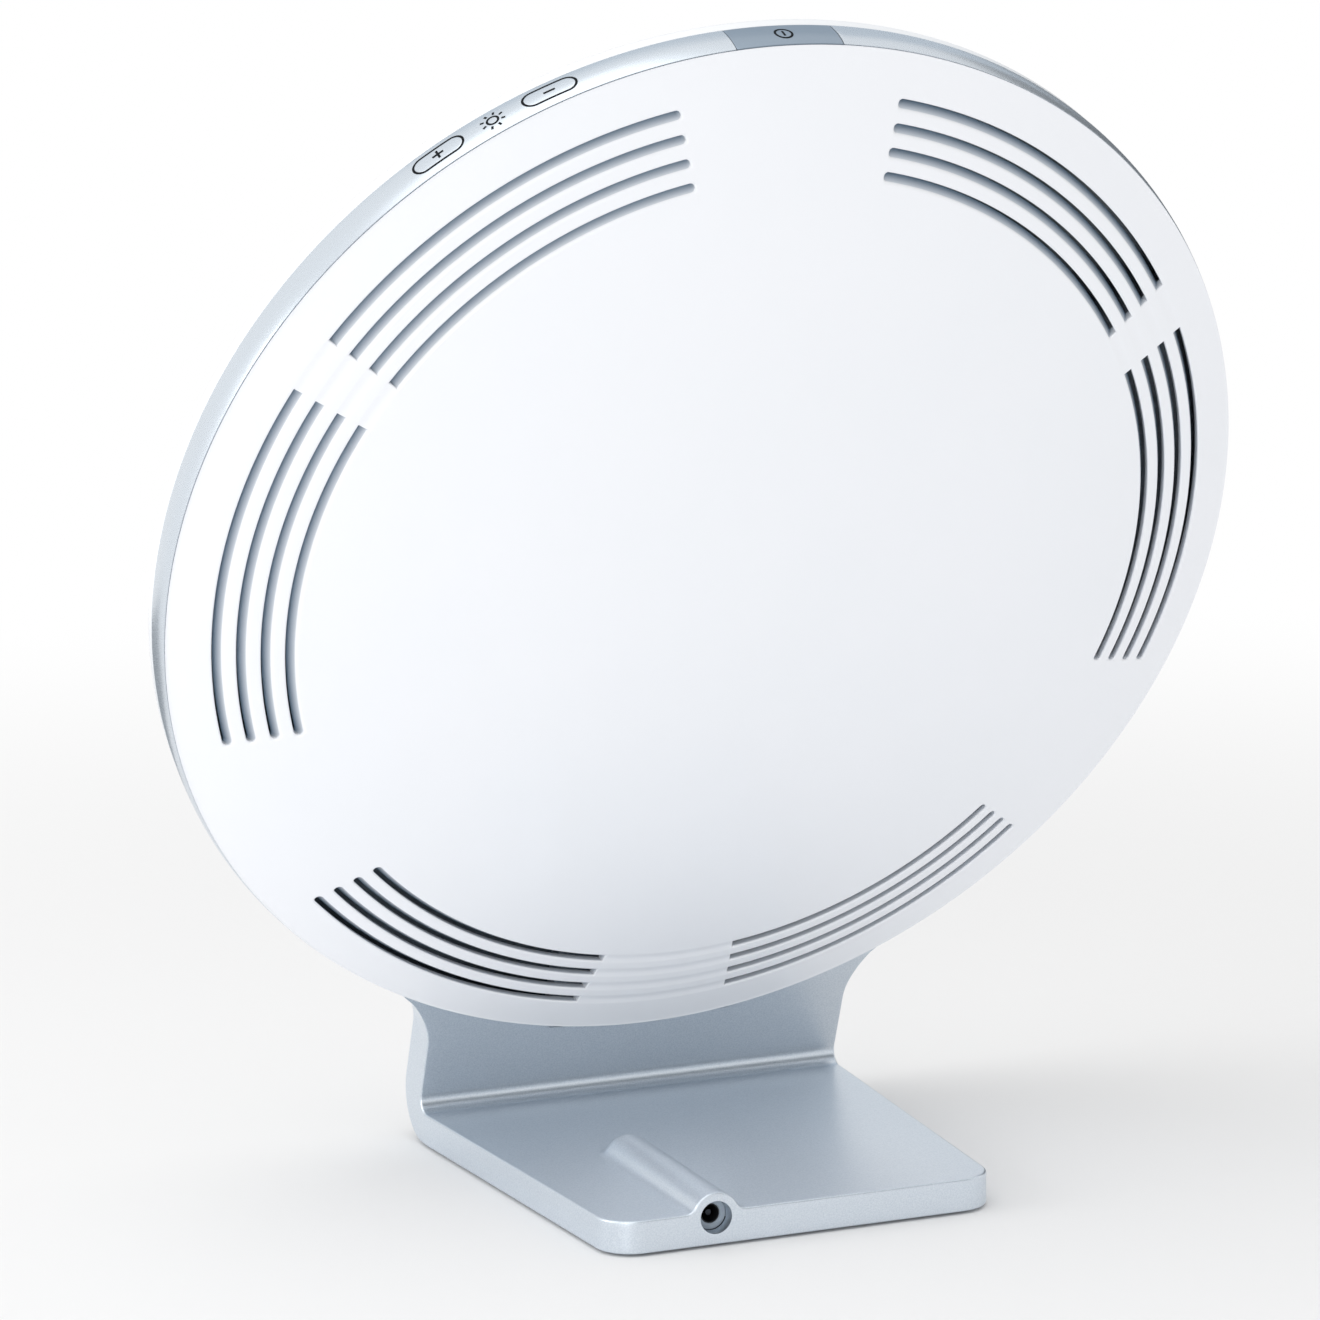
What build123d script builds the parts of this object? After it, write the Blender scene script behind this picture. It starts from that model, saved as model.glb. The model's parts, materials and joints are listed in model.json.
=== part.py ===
"""Round light therapy lamp on a one-piece L stand, built as separate pieces.

Frame: +Z up, the floor at Z = 0, the light face looks along -Y and the vented cover along +Y.
Places on the disc are given by a radius, an angle and a depth:
  radius  from the disc's axis,
  angle   in degrees from the top of the disc towards +X,
  depth   along the disc's axis, 0 at the seam between rim band and rear cover, positive rearward.
All lengths are in millimetres.
"""

from build123d import *
from math import cos, radians, sin, sqrt
import os

# ---------------------------------------------------------------- driving dimensions
LEAN = 21.8              # the disc leans back from the vertical by this many degrees
DISC_HEIGHT = 185.9      # disc centre above the floor
DISC_SHIFT = 7.25        # disc centre behind the middle of the footprint

# rim band, a slightly barrelled ring
RIM_RADIUS = 165.9       # at the crown of the barrel
RIM_REAR_RADIUS = 165.15
RIM_FRONT_RADIUS = 165.5
RIM_INNER_RADIUS = 162.6
RIM_DEPTH = 11.6
SEAM_STEP_RADIUS = 163.9  # inside this radius the rings touch, outside it a fine seam stays open
SEAM_GAP = 0.25

# rear cover
COVER_RADIUS = 165.0
COVER_RISE = 33.0
COVER_WALL = 2.4
BOSS_RADIUS = 118.0      # pitch radius of the six screw bosses
BOSS_ANGLES = [30, 90, 150, 210, 270, 330]

# vents: four concentric grooves in three groups, each group cut through in two sectors
VENT_RADII = [151.5, 145.0, 138.5, 132.0]
VENT_SLOT_WIDTH = 1.7
VENT_GROOVE_WIDTH = 3.3
VENT_GROOVE_DEPTH = 0.7
VENT_GROUPS = [(12.5, 107.5), (132.3, 227.7), (252.5, 347.5)]
VENT_SECTORS = [(12.5, 56.6), (63.0, 107.5), (132.3, 170.9), (189.1, 227.7), (252.5, 297.0), (303.4, 347.5)]

# front frame and light engine, as depths behind which the next piece starts
FRAME_FRONT = -17.2
FRAME_RADIUS = 165.3
WINDOW_RADIUS = 150.0
FRAME_LIP = 1.8
FRAME_INNER_RADIUS = 161.5
DIFFUSER_RADIUS = 161.2
DIFFUSER_THICKNESS = 2.4
GUIDE_RADIUS = 155.0
GUIDE_THICKNESS = 4.0
REFLECTOR_THICKNESS = 0.5
CHASSIS_RADIUS = 160.2
CHASSIS_RIM = 1.9
CHASSIS_THICKNESS = 2.0
STRIP_THICKNESS = 0.7
LED_COUNT = 96
LED_SIZE = 3.0
LED_HEIGHT = 1.3

# keys on the rim
KEY_GAP = 0.37
POWER_HALF_ANGLE = 5.62
PLUS_ANGLE = 36.2
MINUS_ANGLE = 24.1
KEY_DEPTH = -6.2
KEY_LENGTH = 15.3
KEY_WIDTH = 5.6
POWER_TRAVEL = 0.8
KEY_STEM_RADIUS = 1.5
POWER_CAP_INNER = 163.1
POWER_FLOOR = 162.2
SWITCH_DEPTH = -3.6
SWITCH_SIZE = 4.5
SWITCH_BASE = 155.7
SWITCH_HEIGHT = 3.3
PLUNGER_RADIUS = 1.3
PLUNGER_TOP = 160.0
KEY_BOARD_THICKNESS = 1.0

# driver electronics on the back of the chassis
BOARD_WIDTH = 110.0
BOARD_HEIGHT = 70.0
BOARD_CENTRE = -20.0
BOARD_THICKNESS = 1.6
STANDOFF_HEIGHT = 5.0

# stand: one bent plate with a tongue that reaches into the disc
PLATE = 9.7              # thickness of the base
NECK_PLATE = 13.5        # thickness of the neck
NECK_REAR = -1.2         # depth of the neck's rear face
NECK_HALF_WIDTH = 68.5
REAR_HALF_WIDTH = 60.0
FLARE_RADIUS = 19.0
BEND_INNER_RADIUS = 4.0
BEND_OUTER_RADIUS = 14.0
REAR_EDGE = 72.05        # Y of the base's rear edge
CORNER_RADIUS = 11.0
SADDLE_GAP = 0.1
PAD_THICKNESS = 0.8
TONGUE_HALF_WIDTH = 30.0
TONGUE_TOP = -128.0
POCKET_SKIN = 3.0
POCKET_WALL = 4.0
COVER_PLATE = 2.0
BALLAST = 4.0

# barrel jack in the half-round boss on the base
JACK_X = 28.0
JACK_Z = 8.76
JACK_RADIUS = 4.65
JACK_RECESS = 4.5
JACK_LENGTH = 14.5
JACK_BORE = 2.9
JACK_BORE_DEPTH = 9.5
JACK_PIN_RADIUS = 1.05
JACK_PIN_LENGTH = 8.0
BOSS_ROUND = 7.3
BOSS_LENGTH = 66.0
LEAD_RADIUS = 1.2
LEAD_DEPTH = -3.85

# ---------------------------------------------------------------- worked out from those
UP = Vector(0, sin(radians(LEAN)), cos(radians(LEAN)))
BACK = Vector(0, cos(radians(LEAN)), -sin(radians(LEAN)))
SIDE = Vector(1, 0, 0)
CENTRE = Vector(0, DISC_SHIFT, DISC_HEIGHT)
AXIS = Axis(CENTRE, BACK)

DIFFUSER_REAR = FRAME_FRONT + FRAME_LIP + DIFFUSER_THICKNESS
GUIDE_REAR = DIFFUSER_REAR + GUIDE_THICKNESS
CHASSIS_FRONT = GUIDE_REAR + REFLECTOR_THICKNESS
CHASSIS_REAR = CHASSIS_FRONT + CHASSIS_THICKNESS
STRIP_RADIUS = CHASSIS_RADIUS - CHASSIS_RIM
COVER_SPHERE = (COVER_RADIUS**2 + COVER_RISE**2) / (2 * COVER_RISE)
NECK_FRONT = NECK_REAR - NECK_PLATE
PLATE_TOP = PAD_THICKNESS + PLATE
POCKET_TOP = PLATE_TOP - POCKET_SKIN
PLATE_INSIDE = PAD_THICKNESS + COVER_PLATE
BOARD_FRONT = CHASSIS_REAR + STANDOFF_HEIGHT
BOARD_REAR = BOARD_FRONT + BOARD_THICKNESS


# ---------------------------------------------------------------- planes and small helpers
def radial(angle):
    """Unit vector from the disc's axis outwards at an angle from the top towards +X."""
    return UP * cos(radians(angle)) + SIDE * sin(radians(angle))


def face_plane(depth):
    """Plane across the disc: X to +X, Y up the disc, extruding towards the light face."""
    return Plane(origin=CENTRE + BACK * depth, x_dir=SIDE, z_dir=BACK * -1)


def section_plane(angle=0):
    """Plane through the disc's axis: X is the radius and Y is the depth."""
    outwards = radial(angle)
    return Plane(origin=CENTRE, x_dir=outwards, z_dir=outwards.cross(BACK))


def rim_plane(angle, radius, depth):
    """Plane square to a radius: X runs along the rim, Y rearward, extruding outwards."""
    along = SIDE * cos(radians(angle)) - UP * sin(radians(angle))
    return Plane(origin=CENTRE + radial(angle) * radius + BACK * depth, x_dir=along, z_dir=radial(angle))


def disc_point(x, up, depth):
    """Point given across the disc, up the disc and along its axis."""
    return CENTRE + SIDE * x + UP * up + BACK * depth


def cover_depth(radius):
    """Depth of the rear cover's outer face at a radius."""
    return sqrt(COVER_SPHERE**2 - radius**2) - (COVER_SPHERE - COVER_RISE)


def box_outline(inner, outer, front, rear):
    """Corner points of a rectangle in a section plane."""
    return [(inner, front), (outer, front), (outer, rear), (inner, rear)]


def ring(points, start=0, sweep=360):
    """Solid of revolution about the disc's axis from corner points in a section plane."""
    with BuildPart() as turned:
        with BuildSketch(section_plane(start)):
            with BuildLine():
                Polyline(*points, close=True)
            make_face()
        revolve(axis=AXIS, revolution_arc=sweep)
    return turned.part


def barrel(inner, front, rear, start=0, sweep=360, grow=0):
    """Ring whose outer face is the barrelled face of the rim band, grown outwards on request."""
    with BuildPart() as turned:
        with BuildSketch(section_plane(start)):
            with BuildLine():
                crown = ThreePointArc(
                    (RIM_REAR_RADIUS + grow, rear),
                    (RIM_RADIUS + grow, (front + rear) / 2),
                    (RIM_FRONT_RADIUS + grow, front),
                )
                Polyline(crown @ 1, (inner, front), (inner, rear), crown @ 0)
            make_face()
        revolve(axis=AXIS, revolution_arc=sweep)
    return turned.part


def sector_outline(inner, outer, start, end):
    """Closed ring-sector outline on a face plane, angles from the top towards +X."""
    sweep = end - start
    outside = CenterArc((0, 0), outer, 90 - end, sweep)
    inside = CenterArc((0, 0), inner, 90 - end, sweep)
    Line(outside @ 0, inside @ 0)
    Line(outside @ 1, inside @ 1)


def save(piece, name):
    """Label one finished piece and write its STEP file."""
    piece.part.label = name
    export_step(piece.part, f"parts/{name}.step")


# ---------------------------------------------------------------- front frame and light engine
def make_front_frame():
    """White bezel ring with a rounded front edge, open over the diffuser."""
    lip_rear = FRAME_FRONT + FRAME_LIP
    corner = 2.5
    with BuildPart() as front_frame:
        with BuildSketch(section_plane()):
            with BuildLine():
                Polyline(
                    (WINDOW_RADIUS, lip_rear),
                    (WINDOW_RADIUS, FRAME_FRONT),
                    (FRAME_RADIUS - corner, FRAME_FRONT),
                )
                RadiusArc(
                    (FRAME_RADIUS - corner, FRAME_FRONT), (FRAME_RADIUS, FRAME_FRONT + corner), -corner
                )
                Polyline(
                    (FRAME_RADIUS, FRAME_FRONT + corner),
                    (FRAME_RADIUS, -RIM_DEPTH - SEAM_GAP / 2),
                    (SEAM_STEP_RADIUS, -RIM_DEPTH - SEAM_GAP / 2),
                    (SEAM_STEP_RADIUS, -RIM_DEPTH),
                    (FRAME_INNER_RADIUS, -RIM_DEPTH),
                    (FRAME_INNER_RADIUS, lip_rear),
                    (WINDOW_RADIUS, lip_rear),
                )
            make_face()
        revolve(axis=AXIS)
    return front_frame


def make_disc(radius, front, rear):
    """Plain round plate between two depths."""
    with BuildPart() as plate:
        with BuildSketch(face_plane(rear)):
            Circle(radius)
        extrude(amount=rear - front)
    return plate


def make_led_strip():
    """Flexible circuit ring that carries the LEDs around the light guide."""
    with BuildPart() as led_strip:
        add(ring(box_outline(STRIP_RADIUS - STRIP_THICKNESS, STRIP_RADIUS, DIFFUSER_REAR, CHASSIS_FRONT)))
    return led_strip


def make_led_packages():
    """White LED packages that shine inwards into the edge of the light guide."""
    seat = STRIP_RADIUS - STRIP_THICKNESS - 0.05
    middle = (DIFFUSER_REAR + GUIDE_REAR) / 2
    with BuildPart() as led_packages:
        for number in range(LED_COUNT):
            angle = 360 * number / LED_COUNT
            with BuildSketch(rim_plane(angle, seat - LED_HEIGHT, middle)):
                Rectangle(LED_SIZE, LED_SIZE)
            extrude(amount=LED_HEIGHT)
    return led_packages


def neck_screw_points():
    """Places of the four neck screws on a face plane."""
    return [(x, up) for x in (-20, 20) for up in (-152, -136)]


def boss_points():
    """Places of the six cover screws on a face plane."""
    return [(BOSS_RADIUS * sin(radians(a)), BOSS_RADIUS * cos(radians(a))) for a in BOSS_ANGLES]


def make_led_chassis():
    """Aluminium dish behind the light guide that spreads the heat of the LEDs."""
    with BuildPart() as led_chassis:
        add(ring(box_outline(STRIP_RADIUS, CHASSIS_RADIUS, DIFFUSER_REAR, CHASSIS_REAR)))
        with BuildSketch(face_plane(CHASSIS_REAR)):
            Circle(STRIP_RADIUS + 0.5)
        extrude(amount=CHASSIS_THICKNESS)
        for x, up in boss_points():
            with BuildSketch(face_plane(CHASSIS_REAR)):
                with Locations((x, up)):
                    Circle(1.6)
            extrude(amount=CHASSIS_THICKNESS, mode=Mode.SUBTRACT)
            add(countersink(x, up, 3.1, 1.6, 1.6), mode=Mode.SUBTRACT)
        for x, up in neck_screw_points():
            with BuildSketch(face_plane(CHASSIS_REAR)):
                with Locations((x, up)):
                    Circle(2.1)
            extrude(amount=CHASSIS_THICKNESS, mode=Mode.SUBTRACT)
            add(countersink(x, up, 3.9, 2.1, 1.8), mode=Mode.SUBTRACT)
    return led_chassis


def countersink(x, up, head, shank, height):
    """Cone of a countersunk head whose flat lies on the chassis's front face."""
    place = Plane(origin=disc_point(x, up, CHASSIS_FRONT), x_dir=SIDE, z_dir=BACK)
    with BuildPart(place) as cone:
        Cone(head, shank, height, align=(Align.CENTER, Align.CENTER, Align.MIN))
    return cone.part


def make_screws(points, head, shank, head_height, end_depth):
    """Countersunk screws, head flush with the chassis's front face, shank running rearward."""
    with BuildPart() as screws:
        for x, up in points:
            add(countersink(x, up, head, shank, head_height))
            place = Plane(origin=disc_point(x, up, CHASSIS_FRONT), x_dir=SIDE, z_dir=BACK)
            with BuildSketch(place):
                Circle(shank)
            extrude(amount=end_depth - CHASSIS_FRONT)
            socket = 0.9
            with BuildSketch(place):
                RegularPolygon(shank * 0.75, 6)
            extrude(amount=socket, mode=Mode.SUBTRACT)
    return screws


# ---------------------------------------------------------------- rim band and rear cover
def make_rim_band():
    """Barrelled silver ring with openings for the keys and a slot for the stand's tongue."""
    web = 9.0
    with BuildPart() as rim_band:
        add(barrel(RIM_INNER_RADIUS, SEAM_GAP - RIM_DEPTH, -SEAM_GAP))
        add(ring(box_outline(RIM_INNER_RADIUS, SEAM_STEP_RADIUS, -RIM_DEPTH, 0)))
        # thicker seat under the power cap
        add(ring(box_outline(CHASSIS_RADIUS + 0.4, RIM_INNER_RADIUS + 0.2, -RIM_DEPTH, 0), -web, 2 * web))
        notch = POWER_HALF_ANGLE + 0.13
        cut = ring(box_outline(POWER_FLOOR, RIM_RADIUS + 2, -RIM_DEPTH - 1, 1), -notch, 2 * notch)
        add(cut, mode=Mode.SUBTRACT)
        with BuildSketch(rim_plane(0, CHASSIS_RADIUS - 2, SWITCH_DEPTH)):
            Circle(KEY_STEM_RADIUS + 0.3)
        extrude(amount=8, mode=Mode.SUBTRACT)
        for angle in (PLUS_ANGLE, MINUS_ANGLE):
            with BuildSketch(rim_plane(angle, CHASSIS_RADIUS, KEY_DEPTH)):
                SlotOverall(KEY_LENGTH + 2 * KEY_GAP, KEY_WIDTH + 2 * KEY_GAP)
            extrude(amount=10, mode=Mode.SUBTRACT)
        # slot for the stand's tongue at the bottom of the ring
        clearance = 0.2
        tongue_depth = NECK_REAR - CHASSIS_REAR
        with BuildSketch(rim_plane(180, CHASSIS_RADIUS - 2, (NECK_REAR + CHASSIS_REAR) / 2)):
            Rectangle(2 * (TONGUE_HALF_WIDTH + clearance), tongue_depth + 2 * clearance)
        extrude(amount=12, mode=Mode.SUBTRACT)
    return rim_band


def make_rear_cover():
    """Domed white shell with six screw bosses, grooves and through vents."""
    inner_sphere = COVER_SPHERE - COVER_WALL
    seat_radius = sqrt(inner_sphere**2 - (COVER_SPHERE - COVER_RISE) ** 2)
    lift = SEAM_GAP / 2
    top = COVER_RISE
    with BuildPart() as rear_cover:
        with BuildSketch(section_plane()):
            with BuildLine():
                shoulder = (COVER_RADIUS - 0.25, cover_depth(COVER_RADIUS - 0.25) + lift)
                middle = (COVER_RADIUS / 2, cover_depth(COVER_RADIUS / 2) + lift / 2)
                dome = ThreePointArc((0, top), middle, shoulder)
                Polyline(
                    shoulder,
                    (COVER_RADIUS, shoulder[1] - 0.05),
                    (COVER_RADIUS, lift),
                    (SEAM_STEP_RADIUS, lift),
                    (SEAM_STEP_RADIUS, 0),
                    (seat_radius, 0),
                )
                inside_middle = (seat_radius / 2, sqrt(inner_sphere**2 - seat_radius**2 / 4)
                                 - (COVER_SPHERE - COVER_RISE))
                ThreePointArc((seat_radius, 0), inside_middle, (0, top - COVER_WALL))
                Line((0, top - COVER_WALL), (0, top))
            make_face()
        revolve(axis=AXIS)
        for x, up in boss_points():
            top_depth = cover_depth(BOSS_RADIUS) - 1.2
            with BuildSketch(face_plane(top_depth)):
                with Locations((x, up)):
                    Circle(4)
            extrude(amount=top_depth - CHASSIS_REAR)
            with BuildSketch(face_plane(top_depth - 4)):
                with Locations((x, up)):
                    Circle(1.6)
            extrude(amount=top_depth - 4 - CHASSIS_REAR, mode=Mode.SUBTRACT)
        # shallow grooves, one arc-shaped cut for each radius and group
        half = VENT_GROOVE_WIDTH / 2
        cutter = (half**2 + VENT_GROOVE_DEPTH**2) / (2 * VENT_GROOVE_DEPTH)
        for start, end in VENT_GROUPS:
            with BuildSketch(section_plane(start)):
                for radius in VENT_RADII:
                    with Locations((radius, cover_depth(radius) + cutter - VENT_GROOVE_DEPTH)):
                        Circle(cutter)
            revolve(axis=AXIS, revolution_arc=end - start, mode=Mode.SUBTRACT)
        # through slots along the middle of the grooves
        for start, end in VENT_SECTORS:
            with BuildSketch(face_plane(COVER_RISE)):
                for radius in VENT_RADII:
                    with BuildLine():
                        half_slot = VENT_SLOT_WIDTH / 2
                        sector_outline(radius - half_slot, radius + half_slot, start, end)
                    make_face()
            extrude(amount=COVER_RISE + 1, mode=Mode.SUBTRACT)
    return rear_cover


# ---------------------------------------------------------------- keys and switches
def make_power_button():
    """Power cap, a full-width segment of the band on a guide stem."""
    with BuildPart() as power_button:
        add(
            barrel(
                POWER_CAP_INNER, SEAM_GAP - RIM_DEPTH, -SEAM_GAP, -POWER_HALF_ANGLE, 2 * POWER_HALF_ANGLE
            )
        )
        with BuildSketch(rim_plane(0, PLUNGER_TOP, SWITCH_DEPTH)):
            Circle(KEY_STEM_RADIUS)
        extrude(amount=POWER_CAP_INNER + 0.5 - PLUNGER_TOP)
    return power_button


def make_rim_key(angle):
    """Stadium-shaped key, flush with the band, with a retaining flange and a stem."""
    flange_top = 162.2
    flange = 0.8
    margin = 1.0
    with BuildPart() as rim_key:
        with BuildSketch(rim_plane(angle, flange_top - flange / 2, KEY_DEPTH)):
            SlotOverall(KEY_LENGTH, KEY_WIDTH)
        extrude(amount=5)
        add(barrel(150, -RIM_DEPTH, 0, angle - 6, 12), mode=Mode.INTERSECT)
        with BuildSketch(rim_plane(angle, flange_top - flange, KEY_DEPTH)):
            SlotOverall(KEY_LENGTH + 2 * margin, KEY_WIDTH + 2 * margin)
        extrude(amount=flange)
        with BuildSketch(rim_plane(angle, PLUNGER_TOP, SWITCH_DEPTH)):
            Circle(KEY_STEM_RADIUS)
        extrude(amount=flange_top - flange - PLUNGER_TOP)
    return rim_key


def make_switch(angle):
    """Tact switch housing with a round well for its plunger."""
    well = PLUNGER_RADIUS + 0.25
    with BuildPart() as switch:
        with BuildSketch(rim_plane(angle, SWITCH_BASE, SWITCH_DEPTH)):
            Rectangle(SWITCH_SIZE, SWITCH_SIZE)
        extrude(amount=SWITCH_HEIGHT)
        with BuildSketch(rim_plane(angle, SWITCH_BASE + 1, SWITCH_DEPTH)):
            Circle(well)
        extrude(amount=SWITCH_HEIGHT, mode=Mode.SUBTRACT)
    return switch


def make_plunger(angle):
    """Plunger of a tact switch, pushed in by the stem of its key."""
    foot = SWITCH_BASE + 1 + POWER_TRAVEL + 0.3
    with BuildPart() as plunger:
        with BuildSketch(rim_plane(angle, foot, SWITCH_DEPTH)):
            Circle(PLUNGER_RADIUS)
        extrude(amount=PLUNGER_TOP - foot)
    return plunger


def make_key_board():
    """Curved circuit board that carries the three tact switches."""
    with BuildPart() as key_board:
        outline = box_outline(SWITCH_BASE - KEY_BOARD_THICKNESS, SWITCH_BASE, CHASSIS_REAR, -1.0)
        add(ring(outline, -4, PLUS_ANGLE + 8))
    return key_board


# ---------------------------------------------------------------- driver electronics
def standoff_points():
    """Corners where the driver board stands on its pillars."""
    reach_x = BOARD_WIDTH / 2 - 5
    reach_up = BOARD_HEIGHT / 2 - 5
    return [(x, BOARD_CENTRE + up) for x in (-reach_x, reach_x) for up in (-reach_up, reach_up)]


def make_driver_board():
    """Driver circuit board with four fixing holes."""
    with BuildPart() as driver_board:
        with BuildSketch(face_plane(BOARD_REAR)):
            with Locations((0, BOARD_CENTRE)):
                RectangleRounded(BOARD_WIDTH, BOARD_HEIGHT, 3)
            with Locations(*standoff_points()):
                Circle(1.7, mode=Mode.SUBTRACT)
        extrude(amount=BOARD_THICKNESS)
    return driver_board


def make_board_standoffs():
    """Brass pillars between chassis and driver board."""
    with BuildPart() as board_standoffs:
        with BuildSketch(face_plane(BOARD_FRONT)):
            with Locations(*standoff_points()):
                RegularPolygon(3, 6)
        extrude(amount=STANDOFF_HEIGHT)
        with BuildSketch(face_plane(BOARD_FRONT)):
            with Locations(*standoff_points()):
                Circle(1.6)
        extrude(amount=STANDOFF_HEIGHT - 1, mode=Mode.SUBTRACT)
    return board_standoffs


def make_board_screws():
    """Pan-head screws that hold the driver board on its pillars."""
    head = 2.2
    with BuildPart() as board_screws:
        with BuildSketch(face_plane(BOARD_REAR + head)):
            with Locations(*standoff_points()):
                Circle(2.9)
        extrude(amount=head)
        with BuildSketch(face_plane(BOARD_REAR)):
            with Locations(*standoff_points()):
                Circle(1.5)
        extrude(amount=BOARD_THICKNESS + 3)
    return board_screws


def make_capacitors():
    """Three upright electrolytic capacitors."""
    height = 12
    with BuildPart() as capacitors:
        with BuildSketch(face_plane(BOARD_REAR + height)):
            with Locations(*[(-38 + 14 * number, BOARD_CENTRE + 15) for number in range(3)]):
                Circle(5)
        extrude(amount=height)
    return capacitors


def make_inductor():
    """Shielded power inductor."""
    height = 7
    with BuildPart() as inductor:
        with BuildSketch(face_plane(BOARD_REAR + height)):
            with Locations((12, BOARD_CENTRE + 14)):
                RectangleRounded(16, 16, 3)
        extrude(amount=height)
    return inductor


def make_heat_sink():
    """Finned heat sink over the switching transistors."""
    base = 2
    height = 11
    with BuildPart() as heat_sink:
        with BuildSketch(face_plane(BOARD_REAR + base)):
            with Locations((30, BOARD_CENTRE - 8)):
                Rectangle(30, 22)
        extrude(amount=base)
        with BuildSketch(face_plane(BOARD_REAR + height)):
            with Locations((30, BOARD_CENTRE - 8)):
                with GridLocations(4.6, 0, 7, 1):
                    Rectangle(1.2, 22)
        extrude(amount=height - base)
    return heat_sink


def make_controller():
    """Dimming controller chip."""
    height = 1.6
    with BuildPart() as controller:
        with BuildSketch(face_plane(BOARD_REAR + height)):
            with Locations((-20, BOARD_CENTRE - 8)):
                Rectangle(12, 12)
        extrude(amount=height)
    return controller


def make_lead_connector():
    """Plug-in connector at the lower edge of the driver board."""
    height = 7
    with BuildPart() as lead_connector:
        with BuildSketch(face_plane(BOARD_REAR + height)):
            with Locations((0, BOARD_CENTRE - BOARD_HEIGHT / 2 + 4)):
                Rectangle(12, 8)
        extrude(amount=height)
    return lead_connector


# ---------------------------------------------------------------- stand
def neck_corner(depth, height):
    """Y where a plane parallel to the disc, at a depth, crosses a height above the floor."""
    up = (height - CENTRE.Z + depth * sin(radians(LEAN))) / cos(radians(LEAN))
    return CENTRE.Y + up * sin(radians(LEAN)) + depth * cos(radians(LEAN))


def bend_start():
    """Y where the flat base ends and the bend to the neck begins."""
    half_turn = radians(90 - LEAN) / 2
    corner = neck_corner(NECK_REAR, PLATE_TOP)
    return corner + BEND_INNER_RADIUS * cos(half_turn) / sin(half_turn)


def base_outline(inset, front):
    """Tapered base outline with rounded rear corners, drawn in from the edge by an inset."""
    taper = (NECK_HALF_WIDTH - REAR_HALF_WIDTH) / (REAR_EDGE - bend_start())
    rear = REAR_EDGE - inset
    rear_half = REAR_HALF_WIDTH + taper * inset - inset
    front_half = REAR_HALF_WIDTH + taper * (REAR_EDGE - front) - inset
    with BuildSketch() as outline:
        Polygon((-front_half, front), (front_half, front), (rear_half, rear), (-rear_half, rear), align=None)
        fillet(outline.vertices().group_by(Axis.Y)[-1], CORNER_RADIUS - inset * 0.6)
    return outline.sketch


def pillar_points():
    """Places of the six screws that hold the base cover."""
    front = bend_start() + 14
    rear = REAR_EDGE - 14
    middle = (front + rear) / 2
    return [(side * x, y) for side in (-1, 1) for x, y in ((56, front), (54, middle), (47, rear))]


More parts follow.
